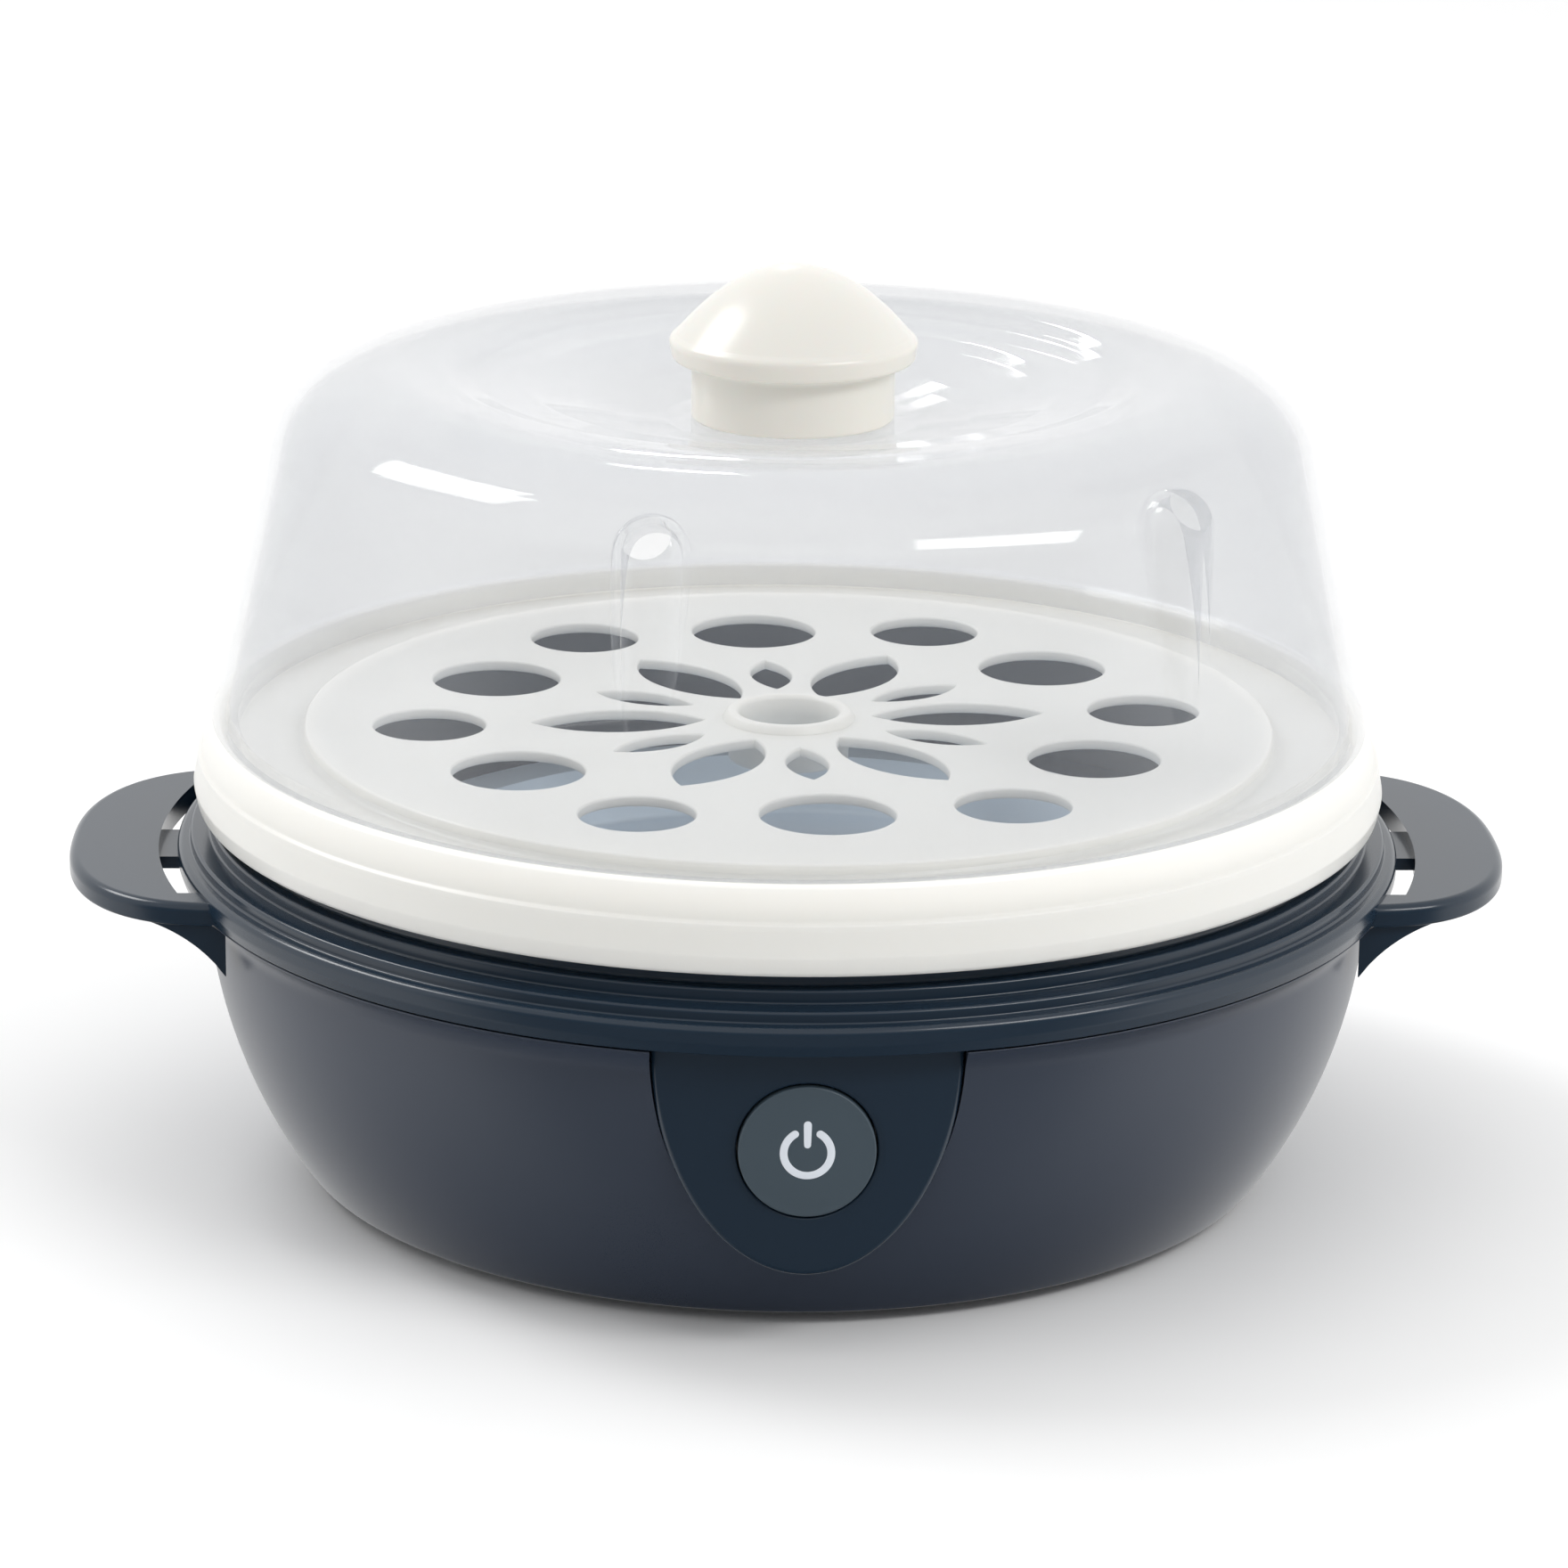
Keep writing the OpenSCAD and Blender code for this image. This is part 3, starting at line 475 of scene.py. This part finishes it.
def make_bowl():
    foot_round, side_rows, inner_rows = 0.8, 40, 24
    heights = [foot_z + foot_round + (lip_z - foot_z - foot_round) * k / side_rows
               for k in range(side_rows)]
    depths = [lip_z - (lip_z - ledge_high) * k / inner_rows for k in range(1, inner_rows + 1)]
    outer = [(bowl_radius(z), z) for z in heights]
    inner = [(bowl_radius(z, bowl_wall), z) for z in depths]
    lip_out, lip_in = lip_curve(0), lip_curve(bowl_wall)
    top_out, top_in = lip_out.pop(), lip_in.pop()
    outline = filleted(
        [(skirt_r, foot_z, 0.4), (bowl_radius(foot_z) - 0.1, foot_z, foot_round),
         *outer, *lip_out,
         (*top_out, 0.3), (*top_in, 0.3), *reversed(lip_in), *inner,
         (ledge_r, ledge_high, 0.4), (ledge_r, ledge_low, 0.4), (skirt_r, ledge_low)])
    bowl = lathe("bowl", outline, 320)

    gland_z = (gland_low.z + gland_high.z) / 2
    gland_r = 5.35
    pad_r, pad_in, pad_face = 9.5, 76.5, 82.4
    pad = [(0, pad_in), (pad_r, pad_in), (pad_r, pad_face, 0.8), (0, pad_face)]
    boss = lathe("pad", filleted(pad), 96, closed=False)
    boss.data.transform(turn_to_y(gland_z))
    join(bowl, boss)
    bib_gap = 0.1
    cut(bowl, prism_y("bib_gap", bib_points(bib_gap, lip_top + 4), -95, -60),
        rod("gland_hole", gland_r, (0, 60, gland_z), (0, 90, gland_z)))

    tick_depth, tick_half_w, tick_low, tick_high = 0.35, 0.25, 9.9, 11.9
    for x in (-1.5, 0.2):
        tick = [(x + side * tick_half_w, z, 0.2) for side, z in
                ((-1, tick_low), (1, tick_low), (1, tick_high), (-1, tick_high))]
        cut(bowl, prism_y("tick", filleted(tick, 30), -90, tick_depth - bowl_radius(tick_low)))
    return place_piece(smooth(bowl), "base", "bowl_plastic", "lower_shell")


def turn_to_y(z):
    """The matrix that lays a lathe's Z axis along +Y at height z."""
    return Matrix.Translation((0, 0, z * MM)) @ Matrix.Rotation(math.radians(-90), 4, "X")


# ---------------------------------------------------------------- base: upper housing

def make_band():
    """The rim with its two steps, the collar and the floor that the heating plate sits in."""
    corners = [
        (collar_r, collar_low, 0.4), (collar_r, band_z), (rim_r - 0.55, band_z, 0.25),
        (rim_r, band_z + 1.6, 1.5), (rim_r, band_z + 3.95, 1.3),
        (rim_r - 1.9, band_z + 4.15, 0.35), (rim_r - 1.9, band_z + 5.7, 0.5),
        (rim_r - 4.7, band_z + 5.95, 0.35), (rim_r - 4.7, band_z + 7.8, 0.5),
        (collar_r, band_z + 8.0, 0.5), (collar_r, collar_top, 0.6), (collar_in, collar_top, 0.6),
        (collar_in, floor_z, 5.0), (plate_seat_r, floor_z, 0.2), (opening_r, floor_z, 0.3),
        (opening_r, floor_z - floor_t, 0.3), (plate_seat_r, floor_z - floor_t),
        (collar_in - 2.2, collar_low - 1.0, 1.0)]
    return lathe("housing", filleted(corners, 8), 320)


def ray_lengths(outline, centre, count):
    """How far each of count evenly spread rays from the centre runs inside an outline."""
    centre = Vector(centre)
    far = []
    for k in range(count):
        ray = Vector(polar(1, 360 * k / count))
        best = 0.0
        for a, b in zip(outline, outline[1:] + outline[:1]):
            a, b = Vector(a) - centre, Vector(b) - centre
            side = b - a
            across = ray.x * side.y - ray.y * side.x
            if abs(across) < 1e-9:
                continue
            t = (a.x * side.y - a.y * side.x) / across
            u = (a.x * ray.y - a.y * ray.x) / across
            if t > 0 and -1e-6 <= u <= 1 + 1e-6:
                best = max(best, t)
        far.append(best)
    return far


def make_bib():
    """A shield with a round hole, lofted in rings from its back edge over its face."""
    back_r, bore_end_r, flare_r = 76.5, 78.6, 77.6
    edge, lip, flare = 0.9, 0.35, 1.2
    hole_r = button_r + button_clear
    rows, count = 10, 192
    far = ray_lengths(bib_points(0, side_arc_z + 2.2), (0, button_z), count)

    def ring(distance, radius):
        points = []
        for k in range(count):
            x, z = polar(distance(k), 360 * k / count, 0, button_z)
            points.append((x, -math.sqrt(radius * radius - x * x), z))
        return points

    rings = [ring(lambda k: far[k], back_r)]
    for a in range(0, 91, 15):
        rings.append(ring(lambda k: far[k] - edge * (1 - math.cos(math.radians(a))),
                          bib_r - edge + edge * math.sin(math.radians(a))))
    for i in range(1, rows):
        t = i / rows
        rings.append(ring(lambda k: (far[k] - edge) * (1 - t) + (hole_r + lip) * t, bib_r))
    for a in range(0, 91, 30):
        rings.append(ring(lambda k: hole_r + lip - lip * math.sin(math.radians(a)),
                          bib_r - lip * (1 - math.cos(math.radians(a)))))
    rings.append(ring(lambda k: hole_r, bore_end_r))
    rings.append(ring(lambda k: hole_r + flare, flare_r))
    return loft("bib", rings, capped=False)


def handle_points(inset, back=60.0):
    """A handle's outline seen from above, its edge moved inwards."""
    length, half_w = reach - handle_centre - inset, handle_half_w - inset
    curve = [(handle_centre + out, y) for y, out in half_oval(half_w, length, handle_power, 48)]
    return [(back, -half_w), *curve, (back, half_w)]


def web_bottom(x):
    """Height of the lower edge of the web under a handle: it sweeps down to the bowl."""
    tip_x, foot_x, foot_height = 94.0, 79.0, 35.0
    steep, full = 2.2, 1.25
    t = min(1.0, max(0.0, (x - foot_x) / (tip_x - foot_x)))
    rise = (1 - (1 - t) ** steep) ** (1 / full)
    return foot_height + (handle_top - handle_t - foot_height) * rise


def make_handle():
    """The handle on the +X side: a plate, the web under it and the slot beside the rim."""
    top_round, low_round = 1.3, 0.6
    low = handle_top - handle_t
    rings = []
    for a in range(90, -1, -15):
        c, s = math.cos(math.radians(a)), math.sin(math.radians(a))
        rings.append([(x, y, low + low_round * (1 - s))
                      for x, y in handle_points(low_round * (1 - c))])
    for a in range(0, 91, 10):
        c, s = math.cos(math.radians(a)), math.sin(math.radians(a))
        rings.append([(x, y, handle_top - top_round + top_round * s)
                      for x, y in handle_points(top_round * (1 - c))])
    plate = loft("handle", rings)

    outer_in, inner_in = 1.3, 3.9
    outer, inner = handle_points(outer_in, 74.0), handle_points(inner_in, 78.0)
    web_top, web_least = handle_top - 1.2, 1
    web = loft("web", [
        [(x, y, web_top) for x, y in outer],
        [(x, y, min(web_bottom(x), web_top - web_least)) for x, y in outer],
        [(x, y, min(web_bottom(x), web_top - web_least)) for x, y in inner],
        [(x, y, web_top) for x, y in inner]], capped=False)
    join(plate, web)

    clear = 0.3
    bowl_space = [(0, 20)] + [(bowl_radius(z) + clear, z) for z in (20 + 2 * k for k in range(10))]
    bowl_space += [(r + clear, z) for r, z in lip_curve(0)]
    bowl_space += [(bowl_space[-1][0], lip_top + clear), (0, lip_top + clear)]
    cut(plate, lathe("bowl_space", bowl_space, 320, closed=False))
    slot = lathe("slot", rectangle(70, rim_r + slot_w, 30, 60), 320)
    keep = prism_z("slot_ends", rectangle(60, 120, -slot_half, slot_half), 20, 70)
    combine(slot, keep, "INTERSECT")
    cut(plate, slot)
    cut(plate, lathe("rim_space", rectangle(0, rim_r - 2.4, 20, 70), 320, closed=False))
    return plate


def make_housing():
    housing = make_band()
    join(housing, make_bib())
    handle = make_handle()
    strut = prism_z("strut", rectangle(rim_r - 1.2, rim_r + slot_w + 0.6, -strut_half, strut_half),
                    handle_top - handle_t, handle_top - 1.5)
    join(handle, strut)
    mirrored = handle.copy()
    mirrored.data = handle.data.copy()
    bpy.context.scene.collection.objects.link(mirrored)
    for vertex in mirrored.data.vertices:
        vertex.co.x = -vertex.co.x
    mirrored.data.flip_normals()
    join(housing, handle, mirrored)
    return place_piece(smooth(housing), "base", "housing_plastic", "upper_housing")


make_bowl()
make_housing()


# ---------------------------------------------------------------- button

def make_button():
    """A hollow cap with a slightly domed face, and the stem that pushes the switch."""
    crown, edge, face_share = 0.35, 0.5, 0.93
    back = -button_high.y
    stem_r = 3.0
    cap_back, cap_wall = 79.8, 1.5
    face = [(button_r * (1 - k / 12) * face_share, button_front - crown * (1 - k / 12) ** 2)
            for k in range(13)]
    corners = [(0, back), (stem_r, back, 0.3), (stem_r, button_front - cap_wall - crown),
               (button_r - cap_wall, button_front - cap_wall - crown, 0.3),
               (button_r - cap_wall, cap_back), (button_r, cap_back, 0.2),
               (button_r, button_front - crown * 0.9, edge), *face]
    cap = lathe("button", filleted(corners, 12), 160, closed=False)
    cap.data.transform(Matrix.Translation((0, 0, button_z * MM))
                       @ Matrix.Rotation(math.radians(90), 4, "X"))
    return place_piece(smooth(cap), "button", "button_plastic", "button_cap")


def make_icon():
    """Power symbol with round ends: an open ring and a bar, its edges softly rounded."""
    centre_x, centre_z = (icon_low.x + icon_high.x) / 2, button_z
    stroke, soft = 1.1, 0.12
    ring_r = (icon_high.x - icon_low.x) / 2 - stroke / 2
    gap_angle, bar_low = 32, 0.6
    half = stroke / 2 - soft
    curve = flat_curve("icon", icon_high.y - icon_low.y, soft)
    start, end = 90 + gap_angle, 450 - gap_angle
    outline = [polar(ring_r + half, start + (end - start) * k / 60) for k in range(61)]
    outline += [polar(half, end + 180 * k / 12, *polar(ring_r, end)) for k in range(1, 12)]
    outline += [polar(ring_r - half, end - (end - start) * k / 60) for k in range(61)]
    outline += [polar(half, start + 180 + 180 * k / 12, *polar(ring_r, start))
                for k in range(1, 12)]
    spline(curve, outline)
    top = icon_high.z - button_z - stroke / 2
    bar = [polar(half, 180 * k / 12, 0, top) for k in range(13)]
    bar += [polar(half, 180 + 180 * k / 12, 0, bar_low + stroke / 2) for k in range(13)]
    spline(curve, bar)
    icon = mesh_of_curve("icon", curve)
    middle = (icon_low.y + icon_high.y) / 2
    icon.data.transform(Matrix.Translation(Vector((centre_x, middle, centre_z)) * MM)
                        @ Matrix.Rotation(math.radians(90), 4, "X"))
    return place_piece(smooth(icon, 40), "button", "icon_plastic", "button_icon")


def make_spring():
    """The return spring: a coil that the button squeezes against its bracket."""
    low, high = box_mm("button_spring")
    wire_r, turns, steps, sides = 0.35, 3.5, 48, 16
    coil_r = (high.x - low.x) / 2 - wire_r
    front, back = low.y + wire_r, high.y - wire_r
    count = round(turns * steps)
    rings = []
    for i in range(count + 1):
        u = i / count
        x, z = polar(1, 360 * turns * u)
        ring = []
        for k in range(sides):
            out, along = polar(wire_r, 360 * k / sides, coil_r)
            ring.append((x * out, front + (back - front) * u + along, button_z + z * out))
        rings.append(ring)
    spring = smooth(loft("spring", rings), 40)
    place_piece(spring, "base", "screw_steel", "button_spring")
    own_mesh(spring)


make_button()
make_icon()
make_spring()


# ---------------------------------------------------------------- tray

def circle_points(radius, cx=0.0, cy=0.0, count=96):
    return [polar(radius, 360 * k / count, cx, cy) for k in range(count)]


def lens_points(r0, r1, width, grow, angle, count=24):
    """A pointed oval from r0 to r1 along a ray, grown by a small margin."""
    half = (r1 - r0) / 2 + grow
    wide = width / 2 + grow
    arc_r = (half * half + wide * wide) / (2 * wide)
    reach_angle = math.degrees(math.asin(half / arc_r))
    c, s = math.cos(math.radians(angle)), math.sin(math.radians(angle))
    points = []
    for side in (1, -1):
        for k in range(count):
            a = 90 - reach_angle + 2 * reach_angle * k / count
            x, y = polar(arc_r, a, 0, wide - arc_r)
            x, y = -x * side + (r0 + r1) / 2, y * side
            points.append((x * c - y * s, x * s + y * c))
    return points


def make_tray():
    """A plate with round holes and pointed slots, in a rim with a moat that the lid stands in."""
    soft = 0.35
    curve = flat_curve("tray_plate", tray_t, soft)
    spline(curve, circle_points(moat_r - soft, count=320))
    spline(curve, circle_points(centre_hole_r + soft))
    for k in range(6):
        small, big = tray_turn + 60 * k, tray_turn + 60 * k + 30
        spline(curve, circle_points(small_hole_r + soft, *polar(small_ring_r, small)))
        spline(curve, circle_points(big_hole_r + soft, *polar(big_ring_r, big)))
        spline(curve, lens_points(*long_slot, soft, small))
        spline(curve, lens_points(*short_slot, soft, big))
    plate = mesh_of_curve("tray", curve)
    plate.data.transform(Matrix.Translation((0, 0, (tray_z - tray_t / 2) * MM)))

    under, skirt_low = 61.9, 55.0
    rim = lathe("tray_rim", filleted([
        (moat_r - 1.6, tray_z - tray_t + 0.5, 0.2), (moat_r - 1.6, 63.0, 0.4),
        (moat_r - 0.2, under, 0.6), (82.5, under, 0.3), (82.7, 55.6, 0.2),
        (83.3, skirt_low, 0.4), (85.4, skirt_low, 1.1), (86.0, 57.9, 1.2),
        (85.35, 61.3, 0.3), (85.3, 62.1, 0.3), (84.75, 62.5, 0.5),
        (83.65, ring_top, 0.5), (82.0, ring_top, 0.4), (81.7, moat_floor, 0.4),
        (moat_r + 0.5, moat_floor, 0.9), (moat_r - 0.5, tray_z - tray_t + 0.9, 0.3)], 12), 320)
    tube_r, collar_out, tube_low, tube_top = 7.3, 9.6, 59.7, tray_z + 1.2
    tube = lathe("tray_tube", filleted([
        (tube_r, tube_low, 0.3), (8.7, tube_low, 0.3), (8.9, tray_z - tray_t, 0.4),
        (collar_out, tray_z - 0.9, 0.3), (collar_out, tray_z + 0.05, 0.5), (8.9, tube_top, 0.6),
        (tube_r, tube_top, 0.7)], 15), 128)
    join(plate, rim, tube)
    return place_piece(smooth(plate, 36), "tray", "tray_plastic", "egg_tray")


make_tray()


# ---------------------------------------------------------------- lid and knob

def lid_curve(inset):
    """The dome's outline from its edge to its centre, moved inwards."""
    lean = math.radians(lid_lean)
    edge_shift = inset / math.cos(lean)
    shoulder_edge = lid_edge_r - (shoulder_z - lid_edge_z) * math.tan(lean) - edge_shift
    turn_r = shoulder_r - inset
    cx = shoulder_edge - turn_r * math.cos(lean)
    cz = shoulder_z - turn_r * math.sin(lean)
    points = [(lid_edge_r - edge_shift, lid_edge_z)]
    steps, crest_steps, shoulder_end = 16, 6, 70
    points += [polar(turn_r, lid_lean + (shoulder_end - lid_lean) * k / steps, cx, cz)
               for k in range(steps + 1)]
    ra, za = points[-1]
    top = crest_z - inset
    for k in range(1, crest_steps + 1):
        u = k / crest_steps
        points.append((ra + (crest_r - ra) * u, top - (top - za) * (1 - u) ** 2))
    steps_in = [(49.5, top - 0.6, 8), (45, top - 1.9, 5), (38, top - 2.9, 8),
                (32.5, top - 4.3, 5), (26, top - 6.0, 8), (18, lid_centre_z - inset, 4)]
    smooth_in = filleted([points[-1], *steps_in, (0, lid_centre_z - inset)], 12, closed=False)
    return points + smooth_in[1:]


def vent_column(name, radius, azimuth):
    """A round column with a domed top, standing at the lid's wall."""
    corners = [(0, vent_low), (radius, vent_low)]
    corners += [polar(radius, 90 * k / 10, 0, vent_top) for k in range(10)]
    corners += [(0, vent_top + radius)]
    column = lathe(name, corners, 64, closed=False)
    x, y = polar(vent_axis_r, azimuth)
    for vertex in column.data.vertices:
        vertex.co.x += x * MM
        vertex.co.y += y * MM
    return column


def make_lid():
    """A thin dome with a spigot that stands in the tray's moat, and two steam vents."""
    spigot_out, spigot_in, spigot_low = 81.2, 79.4, moat_floor + 0.8
    outer = lid_curve(0)
    inner = lid_curve(lid_t)
    skirt = [(inner[0][0] - 0.6, lid_edge_z + 1.3, 0.5), (spigot_in, lid_edge_z - 0.2, 0.5),
             (spigot_in, spigot_low, 0.4), (spigot_out, spigot_low, 0.4),
             (spigot_out, lid_edge_z, 0.2), (*outer[0], 0.4)]
    edge = filleted([inner[1], *skirt, outer[1]], 15, closed=False)[1:-1]
    lid = lathe("lid", edge + outer[1:] + inner[:0:-1], 320)
    middle = lid_curve(lid_t / 2)
    for azimuth in vent_azimuths:
        column = vent_column("vent", vent_r, azimuth)
        space = lathe("space", [(0, 60), (middle[0][0], 60), *middle], 320, closed=False)
        cut(column, space)
        join(lid, column)
    for azimuth in vent_azimuths:
        cut(lid, vent_column("vent_space", vent_r - vent_wall, azimuth))
        foot = Vector((*polar(vent_axis_r, azimuth), vent_top))
        out = Vector((*polar(1, azimuth), 1)).normalized()
        cut(lid, rod("vent_hole", vent_hole_r, foot, foot + out * 20))
    # The studio lights shine straight through clear plastic: no shadow, and no bounced light.
    lid.visible_shadow = False
    lid.visible_diffuse = False
    return place_piece(smooth(lid, 30), "lid", "lid_plastic", "lid_dome")


def make_knob():
    neck_r, cap_r, rim_z, rim_h = 14.5, knob_high.x, 119.0, 3.7
    top = knob_high.z
    rim_top, dome_r, rows = rim_z + rim_h, cap_r - 1.1, 36
    dome = []
    for i in range(rows + 1):
        u = 1 - i / rows
        dome.append((dome_r * u, rim_top + (top - rim_top) * (1 - u * u)))
    corners = [(0, knob_low.z), (neck_r, knob_low.z, 0.5), (neck_r, rim_z - 0.3, 1.0),
               (cap_r - 0.5, rim_z, 0.8), (cap_r, rim_top - 0.9, 1.4), (*dome[0], 0.7), *dome[1:]]
    knob = lathe("knob", filleted(corners, 10, closed=False), 192, closed=False)
    return place_piece(smooth(knob, 40), "lid", "knob_plastic", "lid_knob")


make_lid()
make_knob()


# ---------------------------------------------------------------- stage, lights, camera

def make_floor():
    half = 6000
    floor = mesh_object("floor", [(x, y, 0) for x, y in rectangle(-half, half, -half, half)],
                        [(0, 1, 2, 3)])
    floor.data.materials.append(surface("floor_white", srgb(250, 250, 250), 0.6, 0.005, depth=0.0,
                                        Specular_IOR_Level=0.2))
    floor.visible_glossy = False


def make_light(name, direction, along, size, power):
    """A soft box that faces the lid from a direction, its first side turned to lie along another.
    Sizes are in metres and power is in watts."""
    aim, distance = Vector((0, 0, 0.11)), 1.3
    data = bpy.data.lights.new(name, "AREA")
    data.shape = "RECTANGLE"
    data.size, data.size_y = size
    data.energy = power
    lamp = bpy.data.objects.new(name, data)
    back = Vector(direction).normalized()
    side = (Vector(along) - Vector(along).dot(back) * back).normalized()
    turn = Matrix((side, back.cross(side), back)).transposed()
    lamp.matrix_world = Matrix.Translation(aim + back * distance) @ turn.to_4x4()
    bpy.context.scene.collection.objects.link(lamp)


def make_world():
    """A studio that is white behind and above the object and dim behind the camera."""
    world = bpy.data.worlds.new("studio")
    world.use_nodes = True
    nodes, links = world.node_tree.nodes, world.node_tree.links
    background = nodes["Background"]
    background.inputs["Color"].default_value = (1, 1, 1, 1)
    place = nodes.new("ShaderNodeTexCoord")
    split = nodes.new("ShaderNodeSeparateXYZ")
    links.new(place.outputs["Generated"], split.inputs["Vector"])

    def ramp(output, low, high, at_low, at_high):
        node = nodes.new("ShaderNodeMapRange")
        node.interpolation_type = "SMOOTHSTEP"
        node.inputs["From Min"].default_value = low
        node.inputs["From Max"].default_value = high
        node.inputs["To Min"].default_value = at_low
        node.inputs["To Max"].default_value = at_high
        links.new(output, node.inputs["Value"])
        return node.outputs["Result"]

    def times(first, second):
        node = nodes.new("ShaderNodeMath")
        node.operation = "MULTIPLY"
        links.new(first, node.inputs[0])
        links.new(second, node.inputs[1])
        return node.outputs["Value"]

    front = ramp(split.outputs["Y"], -0.75, -0.1, 1.0, 0.0)
    low = ramp(split.outputs["Z"], 0.25, 0.75, 1.0, 0.0)
    behind_camera = ramp(times(front, low), 0.0, 1.0, 1.0, 0.15)
    below = ramp(split.outputs["Z"], -1.05, -0.35, 0.02, 1.1)
    above = ramp(split.outputs["Z"], 0.4, 0.85, 1.0, 0.8)
    links.new(times(times(behind_camera, below), above), background.inputs["Strength"])
    bpy.context.scene.world = world


def make_camera():
    """The photograph's view: from in front and a little above, through a long lens."""
    data = bpy.data.cameras.new("camera")
    data.lens = 127.97
    data.sensor_width = 36
    data.clip_start, data.clip_end = 0.01, 50
    camera = bpy.data.objects.new("camera", data)
    elevation, azimuth, roll = math.radians(17.0), math.radians(-2.15), math.radians(0.75)
    target, distance = Vector((-0.00056, 0, 0.05555)), 0.81143
    back = Vector((math.sin(azimuth) * math.cos(elevation),
                   -math.cos(azimuth) * math.cos(elevation), math.sin(elevation)))
    camera.location = target + back * distance
    level = back.to_track_quat("Z", "Y")
    camera.rotation_euler = (level @ Quaternion((0, 0, 1), roll)).to_euler()
    bpy.context.scene.collection.objects.link(camera)
    bpy.context.scene.camera = camera


make_floor()
make_world()
make_light("left_box", direction=(-0.636, 0.324, 0.7), along=(0.06, -0.35, 0.23),
           size=(0.62, 0.34), power=5.4)
make_light("right_box", direction=(0.6, -0.518, 0.611), along=(0.46, 0.307, -0.209),
           size=(0.75, 0.27), power=5.0)
make_light("back_box", direction=(-0.017, 0.9, 0.436), along=(1, 0, 0), size=(0.07, 0.05),
           power=0.2)
make_camera()
bpy.context.scene.view_settings.view_transform = "Standard"
